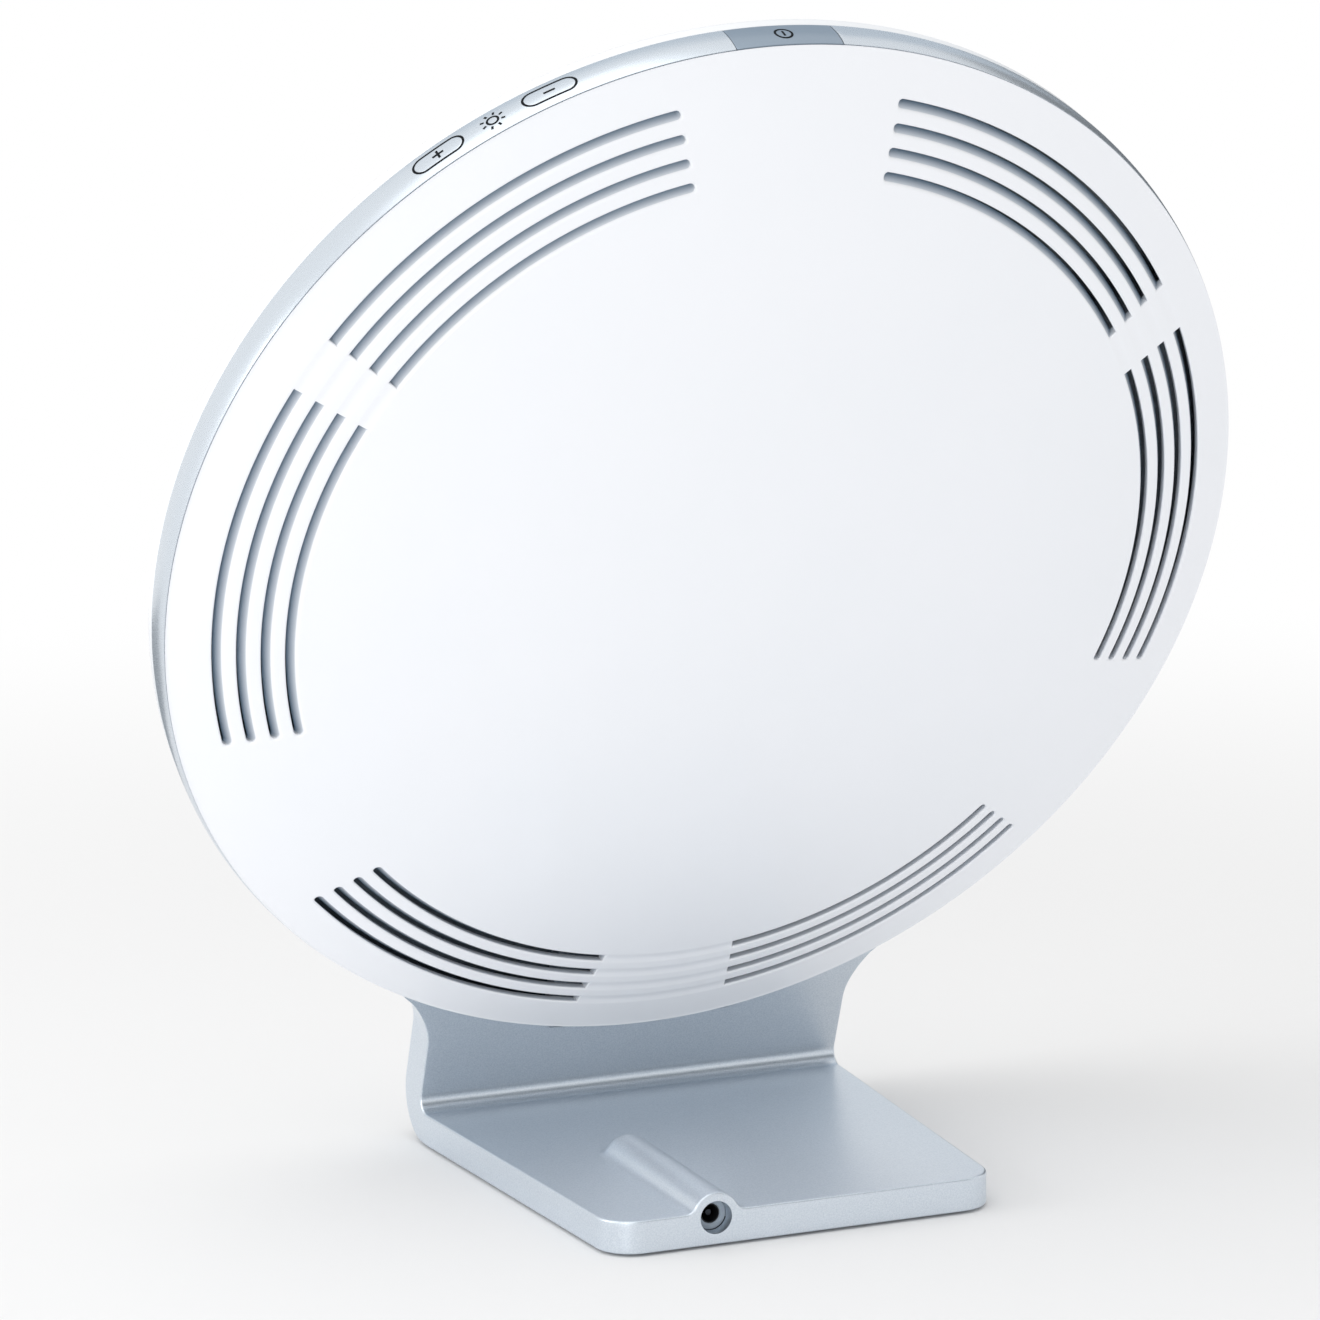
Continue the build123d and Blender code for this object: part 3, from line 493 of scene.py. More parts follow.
class Slot(Enum):
    """Material slots of the record."""

    FRAME = "white_abs"
    DIFFUSER = "opal_acrylic"
    GUIDE = "clear_acrylic"
    REFLECTOR = "reflector_film"
    STRIP = "white_circuit"
    LED = "led_ceramic"
    CHASSIS = "sheet_aluminium"
    SCREW = "zinc_steel"
    BAND = "silver_band"
    COVER = "white_gloss_abs"
    POWER = "silver_key"
    BLACK = "black_plastic"
    GREY = "grey_plastic"
    CIRCUIT = "green_circuit"
    BRASS = "plated_brass"
    SLEEVE = "capacitor_sleeve"
    FERRITE = "ferrite"
    SINK = "black_aluminium"
    NYLON = "white_nylon"
    CASTING = "silver_casting"
    BALLAST = "mild_steel"
    PAD = "soft_rubber"
    LEAD = "black_sleeve"


# Each finish is named for the real material and how its surface was made; the line above it says
# what that gives the eye.
FINISHES = {
    # Neutral white with a soft sheen that spreads along the bezel's rounded edge
    Slot.FRAME: MouldedPlastic("moulded ABS white satin", "F1F2F4", "EDEFF1", 0.30),
    # Milky and even, with a satin front and no hard reflection
    Slot.DIFFUSER: OpalSheet(),
    # Glassy plate with rows of matt dots in its polish
    Slot.GUIDE: ClearAcrylic(),
    # Flat bright white with hardly any sheen
    Slot.REFLECTOR: MouldedPlastic("white reflective film", "F3F3F2", "EEEEEE", 0.45),
    # Off-white lacquer, slightly yellow beside the bezel
    Slot.STRIP: MouldedPlastic("white solder mask", "E7E7E2", "DFDFDA", 0.40),
    # Matt yellow faces of phosphor
    Slot.LED: MouldedPlastic("ceramic with phosphor", "EFE3A0", "E8D88C", 0.50, skin_mm=0.3),
    # Dull grey sheet with faint lines from rolling
    Slot.CHASSIS: BareMetal("rolled aluminium sheet", "9AA3AB", "828B93", 0.42),
    # Bright heads with fine drawn lines
    Slot.SCREW: BareMetal("zinc plated steel", "B4B8BD", "9DA2A8", 0.30, grain_mm=0.2),
    # Pale silver with a fine flake that spreads reflections into broad light and dark areas
    Slot.BAND: SilverPaint(
        "silver satin paint on ABS", "D2D9E0", "C9D1D9", 0.28, metallic=0.75,
        grain_mm=0.3, contrast=0.25, relief_mm=0.0015,
    ),
    # Clean white with a wet gloss; the walls of its slots are painted slate blue as shade, darkest deep in
    # the slot
    Slot.COVER: MouldedPlastic(
        "moulded ABS white gloss", "F3F4F7", "F0F2F5", 0.20, skin_mm=1.2, cut="778EA3"
    ),
    # A darker slate than the band, with the same flake, so that the cap stands out
    Slot.POWER: SilverPaint(
        "slate satin paint on ABS", "98A6B4", "8D9BA9", 0.32, metallic=0.65,
        grain_mm=0.3, contrast=0.4, relief_mm=0.002,
    ),
    # Soft black that shows only a dull sheen
    Slot.BLACK: MouldedPlastic("moulded nylon black", "15171A", "1B1D21", 0.50),
    # Quiet middle grey, a little matt
    Slot.GREY: MouldedPlastic("moulded ABS grey", "A3AEB9", "98A3AE", 0.42),
    # Dark green lacquer with a fine unevenness from the weave under it
    Slot.CIRCUIT: MouldedPlastic("solder mask on glass epoxy", "1C4A33", "225640", 0.35, skin_mm=0.8),
    # Plated brass drawn nearly black as painted shade of the jack's bore, with a thin bright edge where it
    # turns
    Slot.BRASS: BareMetal("plated brass darkened as painted shade", "3B3E44", "2B2E33", 0.30, grain_mm=0.2),
    # Blue black and smooth
    Slot.SLEEVE: MouldedPlastic("PVC shrink sleeve", "1D2233", "232A3D", 0.35),
    # Rough dark grey, like fired clay
    Slot.FERRITE: MouldedPlastic("pressed ferrite", "2E2E31", "38383B", 0.70, skin_mm=0.4, skin_depth=0.03),
    # Black metal that still shows its drawn lines
    Slot.SINK: BareMetal("black anodised aluminium", "2B2E33", "1F2226", 0.45),
    # Cream white, slightly waxy
    Slot.NYLON: MouldedPlastic("moulded nylon natural", "E6E2D6", "DDD8CA", 0.45),
    # Cool silver with a fine sandy grain and soft bright edges
    Slot.CASTING: SilverPaint(
        "bead blasted silver casting", "E0E7EE", "C8D2DC", 0.34, metallic=0.92,
        grain_mm=0.45, contrast=0.8, relief_mm=0.018,
    ),
    # Dark steel with a scaly, streaky skin
    Slot.BALLAST: BareMetal("hot rolled steel", "5D6066", "494C52", 0.50),
    # Black with no shine and a fine open texture
    Slot.PAD: MouldedPlastic("soft rubber", "1C1E21", "24262A", 0.75, skin_mm=0.8, skin_depth=0.05),
    # Smooth black with a faint sheen
    Slot.LEAD: MouldedPlastic("PVC sheath black", "131416", "191B1E", 0.45),
}


def settle(obj: bpy.types.Object) -> bpy.types.Mesh:
    """Applies an object's modifiers.

    Args:
        obj: The object, which keeps its place.

    Returns:
        Its new mesh.
    """
    graph = bpy.context.evaluated_depsgraph_get()
    old = obj.data
    obj.data = bpy.data.meshes.new_from_object(obj.evaluated_get(graph))
    obj.modifiers.clear()
    bpy.data.meshes.remove(old)
    obj.data.name = obj.name
    return obj.data


def mesh_object(bm: bmesh.types.BMesh, name: str) -> bpy.types.Object:
    """Makes a scene object of a finished bmesh.

    Args:
        bm: The mesh, which is used up.
        name: Name of the object and of its mesh.

    Returns:
        The new object.
    """
    mesh = bpy.data.meshes.new(name)
    bm.to_mesh(mesh)
    bm.free()
    obj = bpy.data.objects.new(name, mesh)
    bpy.context.scene.collection.objects.link(obj)
    return obj


def spin_line(bm: bmesh.types.BMesh, verts: Sequence[bmesh.types.BMVert], steps: int, closed: bool) -> None:
    """Joins vertices to a line and spins it one full turn round the z axis.

    Args:
        bm: The mesh that holds the vertices and takes the turned body.
        verts: The section's vertices in order.
        steps: Number of steps in the turn.
        closed: Whether the section's end joins its start.
    """
    pairs = list(zip(verts, verts[1:])) + ([(verts[-1], verts[0])] if closed else [])
    edges = [bm.edges.new(pair) for pair in pairs]
    bmesh.ops.spin(
        bm, geom=[*verts, *edges], cent=(0, 0, 0), axis=(0, 0, 1), dvec=(0, 0, 0),
        angle=math.tau, steps=steps, use_merge=True, use_duplicate=False,
    )


def round_edges(
    bm: bmesh.types.BMesh,
    edges: Iterable[bmesh.types.BMEdge],
    size: float,
    segments: int,
    clamp: bool = False,
) -> None:
    """Rounds edges with a bevel.

    Args:
        bm: The mesh.
        edges: The edges to round.
        size: Width of the rounding.
        segments: Number of steps in it.
        clamp: Whether it shrinks where it would meet another.
    """
    bmesh.ops.bevel(
        bm, geom=list(edges), offset=size, offset_type="OFFSET", segments=segments, profile=0.5,
        affect="EDGES", material=-1, clamp_overlap=clamp,
    )


def tool_object(bm: bmesh.types.BMesh, name: str, matrix: Matrix) -> bpy.types.Object:
    """Makes a cutting tool from a closed mesh in millimetres.

    Args:
        bm: The mesh, which is used up.
        name: The tool's name.
        matrix: Its place in the lamp's frame in millimetres.

    Returns:
        The tool.
    """
    bmesh.ops.remove_doubles(bm, verts=bm.verts, dist=1e-4)
    bmesh.ops.recalc_face_normals(bm, faces=bm.faces)
    bmesh.ops.transform(bm, matrix=Matrix.Scale(MM, 4) @ matrix, verts=bm.verts)
    return mesh_object(bm, name)


class Workshop:
    """Holds the built materials and turns meshes into finished pieces."""

    def __init__(self) -> None:
        """Builds one material for each slot, and the ink."""
        self.materials = {slot: finish.build() for slot, finish in FINISHES.items()}
        self.ink = PrintInk().build()

    def piece(
        self,
        bm: bmesh.types.BMesh,
        name: str,
        slot: Slot,
        body: str,
        matrix: Matrix,
        replaces: Sequence[str] = (),
        sharp: float = 40.0,
        material: bpy.types.Material | None = None,
        tools: Sequence[bpy.types.Object] = (),
    ) -> bpy.types.Object:
        """Args:
            bm: The mesh, which is used up.
            name: The piece's name.
            slot: The record's material slot.
            body: The CAD body that the piece moves with.
            matrix: From the mesh's own millimetre frame to the lamp's frame in metres.
            replaces: CAD nodes that the piece stands for.
            sharp: Edges bent by more degrees than this stay crisp.
            material: A material other than the slot's own.
            tools: Closed shapes cut out of the piece and then thrown away.

        Returns:
            The finished object.
        """
        bmesh.ops.remove_doubles(bm, verts=bm.verts, dist=1e-4)
        bmesh.ops.recalc_face_normals(bm, faces=bm.faces)
        bmesh.ops.transform(bm, matrix=matrix, verts=bm.verts)
        obj = mesh_object(bm, name)
        for tool in tools:
            cut = obj.modifiers.new(tool.name, "BOOLEAN")
            cut.operation, cut.solver, cut.object = "DIFFERENCE", "EXACT", tool
        mesh = settle(obj)
        for tool in tools:
            bpy.data.objects.remove(tool)
        for polygon in mesh.polygons:
            polygon.use_smooth = True
        mesh.set_sharp_from_angle(angle=math.radians(sharp))
        even = obj.modifiers.new("even flats", "WEIGHTED_NORMAL")
        even.mode, even.keep_sharp, even.weight = "FACE_AREA", True, 60
        mesh = settle(obj)
        mesh.materials.clear()
        mesh.materials.append(material or self.materials[slot])
        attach(obj, body)
        if replaces:
            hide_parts(*replaces)
        LOG.info("%s: %d faces on %s", name, len(mesh.polygons), body)
        return obj

    def dress(self, frame: dict) -> None:
        """Gives every CAD node the full material of its slot.
        """
        slots = {part["node"]: Slot(part["material_slot"]) for part in frame["record"]["subparts"]}
        for name, obj in frame["nodes"].items():
            for place in obj.material_slots:
                place.material = self.materials[slots[name]]
            LOG.info("%s: dressed as %s", name, slots[name].value)


# ------------------------------------------------------------------ turning and columns
def even_columns(step: float, extra: Iterable[float] = ()) -> list[float]:
    """Angles round a full turn: even ones, with chosen ones let in.

    Args:
        step: Even spacing in degrees.
        extra: Angles that must be met exactly, in degrees.

    Returns:
        Sorted angles from 0 up to 360. Even ones close to a chosen one are left out.
    """
    chosen = sorted({round(a % 360, 5) for a in extra})
    count = round(360 / step)
    kept = []
    for number in range(count):
        angle = number * 360 / count
        gap = min((abs((angle - a + 180) % 360 - 180) for a in chosen), default=360)
        if gap > step * 0.3:
            kept.append(angle)
    return sorted(kept + chosen)


def turned(
    profile: Sequence[Point],
    columns: Sequence[float],
    closed: bool,
    shape: Callable[[int, float, float, float], Point3] | None = None,
) -> bmesh.types.BMesh:
    """Spins a profile round the disc's axis.

    Args:
        profile: Points as radius and depth.
        columns: Angle of each column in degrees, sorted.
        closed: Whether the profile's end joins its start.
        shape: Moves a vertex: takes its place in the profile, angle, radius and depth, and
            returns the new angle, radius and depth.

    Returns:
        The turned mesh in the disc's frame.
    """
    bm = bmesh.new()
    row = bm.verts.layers.int.new("row")
    verts = [bm.verts.new((0.0, radius, depth)) for radius, depth in profile]
    for number, vert in enumerate(verts):
        vert[row] = number
    steps = len(columns)
    spin_line(bm, verts, steps, closed)
    for vert in bm.verts:
        radius = math.hypot(vert.co.x, vert.co.y)
        if radius < 1e-6:
            continue
        angle = columns[round(disc_angle(vert.co) % 360 * steps / 360) % steps]
        depth = vert.co.z
        if shape is not None:
            angle, radius, depth = shape(vert[row], angle, radius, depth)
        vert.co = disc_point(math.radians(angle), radius, depth)
    return bm


def drop_faces(bm: bmesh.types.BMesh, doomed: Callable[[float, float, float], bool]) -> None:
    """Deletes faces by the place of their middles.

    Args:
        bm: A mesh in the disc's frame.
        doomed: Says whether a face goes, from its angle in degrees, its radius and its depth.
    """
    faces = []
    for face in bm.faces:
        middle = face.calc_center_median()
        if doomed(disc_angle(middle), math.hypot(middle.x, middle.y), middle.z):
            faces.append(face)
    bmesh.ops.delete(bm, geom=faces, context="FACES")


# ------------------------------------------------------------------ rear cover
@dataclass
class RearCover:
    """Domed cover with rounded grooves and through slots."""

    radius: float = 165.0
    rise: float = 33.0
    wall: float = 3.0
    vent_radii: tuple[float, ...] = (151.5, 145.0, 138.5, 132.0)
    groups: tuple[Point, ...] = ((12.5, 107.5), (132.3, 227.7), (252.5, 347.5))
    sectors: tuple[Point, ...] = (
        (12.5, 56.6), (63.0, 107.5), (132.3, 170.9), (189.1, 227.7), (252.5, 297.0), (303.4, 347.5),
    )
    rib_half: float = 3.25
    slot_half: float = 1.25
    lean_inner: float = 1.6
    lean_outer: float = 0.5
    over_inner: float = 0.85
    over_outer: float = 0.75
    valley_half: float = 2.4
    valley_depth: float = 0.3
    mean_radius: float = 142.0
    # Painted shade on the slot walls: the least share of it, and its share at the mouth against full shade
    # deep in
    shade_least: float = 0.05
    shade_mouth: float = 0.35
    crown_rings: tuple[float, ...] = (0, 12, 25, 40, 55, 70, 85, 98, 110, 120, 126)
    edge_rings: tuple[float, ...] = (156.5, 158.5, 160.5, 162.5, 163.6, 164.2)
    inner_rings: tuple[float, ...] = (0.0, 40.0, 80.0, 110.0, 120.0, 125.0, 156.0)
    rounding: tuple[Point, ...] = ((164.82, 0.215), (164.95, 0.17), (165.0, 0.135))
    rim: tuple[Point, ...] = ((164.9, 0.125), (163.9, 0.125), (163.9, 0.0), (161.0, 0.0), (158.6, 0.0))
    beyond_end: tuple[float, ...] = (0.0, 0.06, 0.14, 0.26, 0.42, 0.6, 0.8, 1.3)
    within_end: tuple[float, ...] = (0.06, 0.18, 0.36, 0.6, 0.85, 1.3)

    def dome(self, radius: float, inset: float = 0.0) -> float:
        """Depth of the dome at a radius.

        Args:
            radius: Distance from the axis.
            inset: How far under the outer face.

        Returns:
            The depth.
        """
        sphere = (self.radius**2 + self.rise**2) / (2 * self.rise)
        return math.sqrt((sphere - inset) ** 2 - radius**2) - (sphere - self.rise)

    def profile(self) -> tuple[list[Point], int]:
        """Profile from the outer pole over the rim to the inner pole.

        Returns:
            The points and how many of them lie on the outer dome.
        """
        half = self.slot_half
        bends = [1 - math.sin(math.radians(a)) for a in (0, 18, 36, 54, 72, 90)]
        across = [-self.valley_half] + [-half - self.over_inner * b for b in bends]
        across += [-half / 2, 0.0, half / 2] + [half + self.over_outer * b for b in reversed(bends)]
        across += [half + 0.7, self.valley_half]
        rows = [*self.crown_rings, *self.edge_rings]
        for centre in self.vent_radii:
            rows += [centre + x for x in across]
            rows.append(centre + self.rib_half)
        rows = sorted(set(round(r, 4) for r in rows))
        outer = [(r, self.dome(r)) for r in rows]
        outer += [(164.6, self.dome(164.6) + 0.06), *self.rounding]
        count = len(outer)
        inside = sorted(
            set(self.inner_rings)
            | {c + x for c in self.vent_radii for x in (-half, -half / 2, 0, half / 2, half)}
            | {c + self.rib_half for c in self.vent_radii},
            reverse=True,
        )
        inner = [(r, self.dome(r, self.wall)) for r in inside]
        return [*outer, *self.rim, *inner], count

    def columns(self) -> list[float]:
        """Angles of the mesh's columns, crowded at the ends of the slots."""
        degree = 180 / math.pi / self.mean_radius
        extra = []
        for start, end in self.sectors:
            for away in self.beyond_end:
                extra += [start - away * degree, end + away * degree]
            for within in self.within_end:
                extra += [start + within * degree, end - within * degree]
        return even_columns(1.0, extra)

    def nearest_sector(self, angle: float) -> tuple[float, bool, bool]:
        """Finds how far an angle lies outside the nearest slot's end.

        Args:
            angle: Angle in degrees.

        Returns:
            Degrees outside the slot, negative within it, whether that end is rounded, and
            whether the angle belongs to a group of grooves.
        """
        best, rounded = 1e9, False
        outer_ends = {a for group in self.groups for a in group}
        for start, end in self.sectors:
            for away, edge in ((start - angle, start), (angle - end, end)):
                other = (angle - end) if edge == start else (start - angle)
                signed = max(away, other)
                if away == signed and signed < best:
                    best, rounded = signed, edge in outer_ends
        grouped = any(start <= angle <= end for start, end in self.groups)
        return best, rounded, grouped

    def shape(self, count: int) -> Callable[[int, float, float, float], Point3]:
        """Makes the function that presses the grooves into the dome.

        Args:
            count: Number of profile points on the outer dome.

        Returns:
            The vertex function for turned().
        """
        half = self.slot_half

        def move(row: int, angle: float, radius: float, depth: float) -> Point3:
            """Presses one vertex into its groove.

            Args:
                row: Its place in the profile.
                angle: Its angle in degrees.
                radius: Its distance from the axis.
                depth: Its depth.

            Returns:
                The new angle, radius and depth.
            """
            centre = min(self.vent_radii, key=lambda c: abs(c - radius))
            x = radius - centre
            if abs(x) > self.valley_half + 0.01:
                return angle, radius, depth
            out, rounded, grouped = self.nearest_sector(angle)
            along = math.radians(out) * centre
            outside = row < count
            inner = max(0.0, min(1.0, (half - x) / half / 2))
            over = self.over_outer + (self.over_inner - self.over_outer) * inner
            if rounded and -half < along <= 0 and abs(x) <= half + over:
                width = max(0.3, math.sqrt(max(0.0, half**2 - (half + along) ** 2)))
                scaled = abs(x) * width / half if abs(x) <= half else width + (abs(x) - half)
                x = math.copysign(scaled, x)
            if not outside:
                x += self.lean_inner + (self.lean_outer - self.lean_inner) * (x + half) / half / 2
                return angle, centre + x, self.dome(centre + x, self.wall)
            if rounded and along > -half:
                gap = math.hypot(half + along, x) - half
            else:
                gap = math.hypot(max(abs(x) - half, 0.0), max(along, 0.0))
            press = over
            if gap >= over:
                press = 0.0
            elif gap > 0:
                press = over * (1 - math.sqrt(1 - (1 - gap / over) ** 2))
            if grouped:
                fade = min(1.0, max(0.0, -along / 2.0)) if rounded else 1.0
                valley = 0.5 * (1 + math.cos(math.pi * min(1.0, abs(x) / self.valley_half)))
                press = max(press, self.valley_depth * valley * fade)
            new_radius = centre + x
            return angle, new_radius, self.dome(new_radius) - press

        return move

    def build(self, shop: Workshop) -> None:
        """Args:
            shop: Where the materials are.
        """
        profile, count = self.profile()
        bm = turned(profile, self.columns(), False, self.shape(count))
        bmesh.ops.remove_doubles(bm, verts=bm.verts, dist=1e-4)
        row = bm.verts.layers.int["row"]
        lines = {
            number: centre
            for number, (radius, _) in enumerate(profile)
            for centre in self.vent_radii if abs(radius - centre) < self.slot_half + 0.01
        }

        def hole(verts: Iterable[bmesh.types.BMVert]) -> tuple[float, int] | None:
            """Finds the slot in which an edge or a face lies.

            Args:
                verts: The vertices of the edge or face.

            Returns:
                The slot's radius and sector, or None outside all slots.
            """
            centres = {lines.get(v[row], 0.0) for v in verts}
            angle = disc_angle(sum((v.co for v in verts), Vector())) % 360
            for number, (start, end) in enumerate(self.sectors):
                if start - 1e-3 < angle < end + 1e-3 and len(centres) == 1 and 0.0 not in centres:
                    return centres.pop(), number
            return None

        doomed = [face for face in bm.faces if hole(face.verts)]
        bmesh.ops.delete(bm, geom=doomed, context="FACES")
        rims: dict[tuple[float, int], list[bmesh.types.BMEdge]] = {}
        for edge in bm.edges:
            key = hole(edge.verts) if edge.is_boundary else None
            if key:
                rims.setdefault(key, []).append(edge)
        for edges in rims.values():
            bmesh.ops.bridge_loops(bm, edges=edges)
        # Painted shade on the slot walls: more on the inner wall than the outer, full deep in the slot and
        # less at its mouth
        shade = bm.verts.layers.float.new("painted_slot_shade")
        for vert in {v for edges in rims.values() for e in edges if e.is_valid for v in e.verts}:
            side = profile[vert[row]][0] - lines[vert[row]]
            inner = max(0.0, min(1.0, 0.5 - side / self.slot_half / 2))
            deep = self.shade_mouth if vert[row] < count else 1.0
            vert[shade] = (self.shade_least + (1 - self.shade_least) * inner) * deep
        shop.piece(bm, "cover_skin", Slot.COVER, "lamp", LAMP.disc_matrix(), ["rear_cover"], sharp=50)


# ------------------------------------------------------------------ rim band, keys and prints
@dataclass(frozen=True)
class Stadium:
    """A stadium outline on the band, long side along the rim."""

    angle: float
    depth: float
    length: float
    width: float

    def local(self, angle: float, radius: float, depth: float) -> Point:
        """Place along the rim and across it, measured from the stadium's middle."""
        return math.radians(angle - self.angle) * radius, depth - self.depth

    def columns(self, margin: float) -> list[float]:
        """Fine columns for a mesh that the outline is cut from.

        Args:
            margin: How far they go past its ends, in degrees.

        Returns:
            Their angles in degrees.
        """
        reach = math.degrees(self.length / 2 / RIM_CROWN) + margin
        count = round(2 * reach / COLUMN_STEP)
        return [self.angle - reach + 2 * reach * n / count for n in range(count + 1)]

    def distance(self, u: float, w: float) -> float:
        """Signed distance from the outline, negative inside."""
        straight = (self.length - self.width) / 2
        return math.hypot(max(abs(u) - straight, 0.0), w) - self.width / 2

    def snap(self, u: float, w: float) -> Point:
        """The nearest point of the outline.

        Args:
            u: Place along the rim.
            w: Place across the rim.

        Returns:
            The point on the outline.
        """
        straight = (self.length - self.width) / 2
        base = max(-straight, min(straight, u))
        du, dw = u - base, w
        size = math.hypot(du, dw) or 1.0
        scale = self.width / 2 / size
        return base + du * scale, dw * scale


def snap_edge(bm: bmesh.types.BMesh, outline: Stadium, reach: float) -> None:
    """Moves the open boundary near an outline onto that outline.

    Args:
        bm: A mesh on the band's outer face.
        outline: The stadium.
        reach: Vertices further away than this stay.
    """
    near = {v for e in bm.edges if e.is_boundary for v in e.verts}
    for vert in near:
        radius = math.hypot(vert.co.x, vert.co.y)
        u, w = outline.local(disc_angle(vert.co), radius, vert.co.z)
        if abs(outline.distance(u, w)) > reach:
            continue
        u, w = outline.snap(u, w)
        depth = outline.depth + w
        vert.co = disc_point(math.radians(outline.angle) + u / radius, rim_radius(depth), depth)


def deepen(bm: bmesh.types.BMesh, inner: float, soft: float) -> None:
    """Gives a skin on the band's face its wall and rounds the outer edge of it.

    Args:
        bm: Skin mesh, turned into a closed body.
        inner: Radius of the inner face.
        soft: Size of the rounding.
    """
    skin = list(bm.faces)
    rim = [e for e in bm.edges if e.is_boundary]
    made = bmesh.ops.extrude_face_region(bm, geom=skin, use_keep_orig=True)
    for vert in (g for g in made["geom"] if isinstance(g, bmesh.types.BMVert)):
        radius = math.hypot(vert.co.x, vert.co.y)
        vert.co.x *= inner / radius
        vert.co.y *= inner / radius
    bmesh.ops.recalc_face_normals(bm, faces=bm.faces)
    round_edges(bm, [e for e in rim if e.is_valid], soft, 2, clamp=True)


@dataclass
class RimBand:
    """Barrelled silver band with two stadium openings and a notch for the power cap."""

    inner: float = 162.6
    notch: Point = (-5.5, 5.75)
    openings: tuple[Stadium, ...] = (
        Stadium(PLUS_ANGLE, KEY_DEPTH, 16.04, 6.34), Stadium(MINUS_ANGLE, KEY_DEPTH, 16.04, 6.34),
    )
    soft: float = 0.16
    seat_radii: Point = (160.6, 162.2)
    seat_front: float = -11.6
    seat_half: float = 9.0

    def rows(self) -> list[float]:
        """Depths of the mesh's rows from the rear edge to the front edge."""
        fine = [-2.6 - ROW_STEP * n for n in range(25)]
        return [BAND_REAR, -0.6, -1.1, -1.6, -2.1] + fine + [-10.3, -10.8, BAND_FRONT]

    def is_open(self, angle: float, radius: float, depth: float) -> bool:
        """Whether a place on the band is in an opening or in the notch."""
        cut = any(hole.distance(*hole.local(angle, radius, depth)) < 0 for hole in self.openings)
        return cut or self.notch[0] < angle < self.notch[1]

    def build(self, shop: Workshop) -> None:
        """Args:
            shop: Where the materials are.
        """
        extra = list(self.notch)
        for hole in self.openings:
            extra += hole.columns(0.3)
        profile = [(rim_radius(depth), depth) for depth in self.rows()]
        bm = turned(profile, even_columns(1.0, extra), False)
        drop_faces(bm, self.is_open)
        for hole in self.openings:
            snap_edge(bm, hole, 0.5)
        deepen(bm, self.inner, self.soft)
        shop.piece(bm, "band_skin", Slot.BAND, "lamp", LAMP.disc_matrix(), ["rim_band"], sharp=40)
        self.build_seat(shop)

    def build_seat(self, shop: Workshop) -> None:
        """Builds the seat under the power cap, which closes the notch from below.

        Args:
            shop: Where the materials are.
        """
        low, high = self.seat_radii
        profile = [(low, 0.0), (high, 0.0), (high, self.seat_front), (low, self.seat_front)]
        bm = turned(profile, even_columns(1.0, [self.seat_half, -self.seat_half]), True)
        drop_faces(bm, lambda angle, radius, depth: abs(angle) > self.seat_half)
        bmesh.ops.holes_fill(bm, edges=[e for e in bm.edges if e.is_boundary], sides=4)
        shop.piece(bm, "power_seat", Slot.BLACK, "lamp", LAMP.disc_matrix())


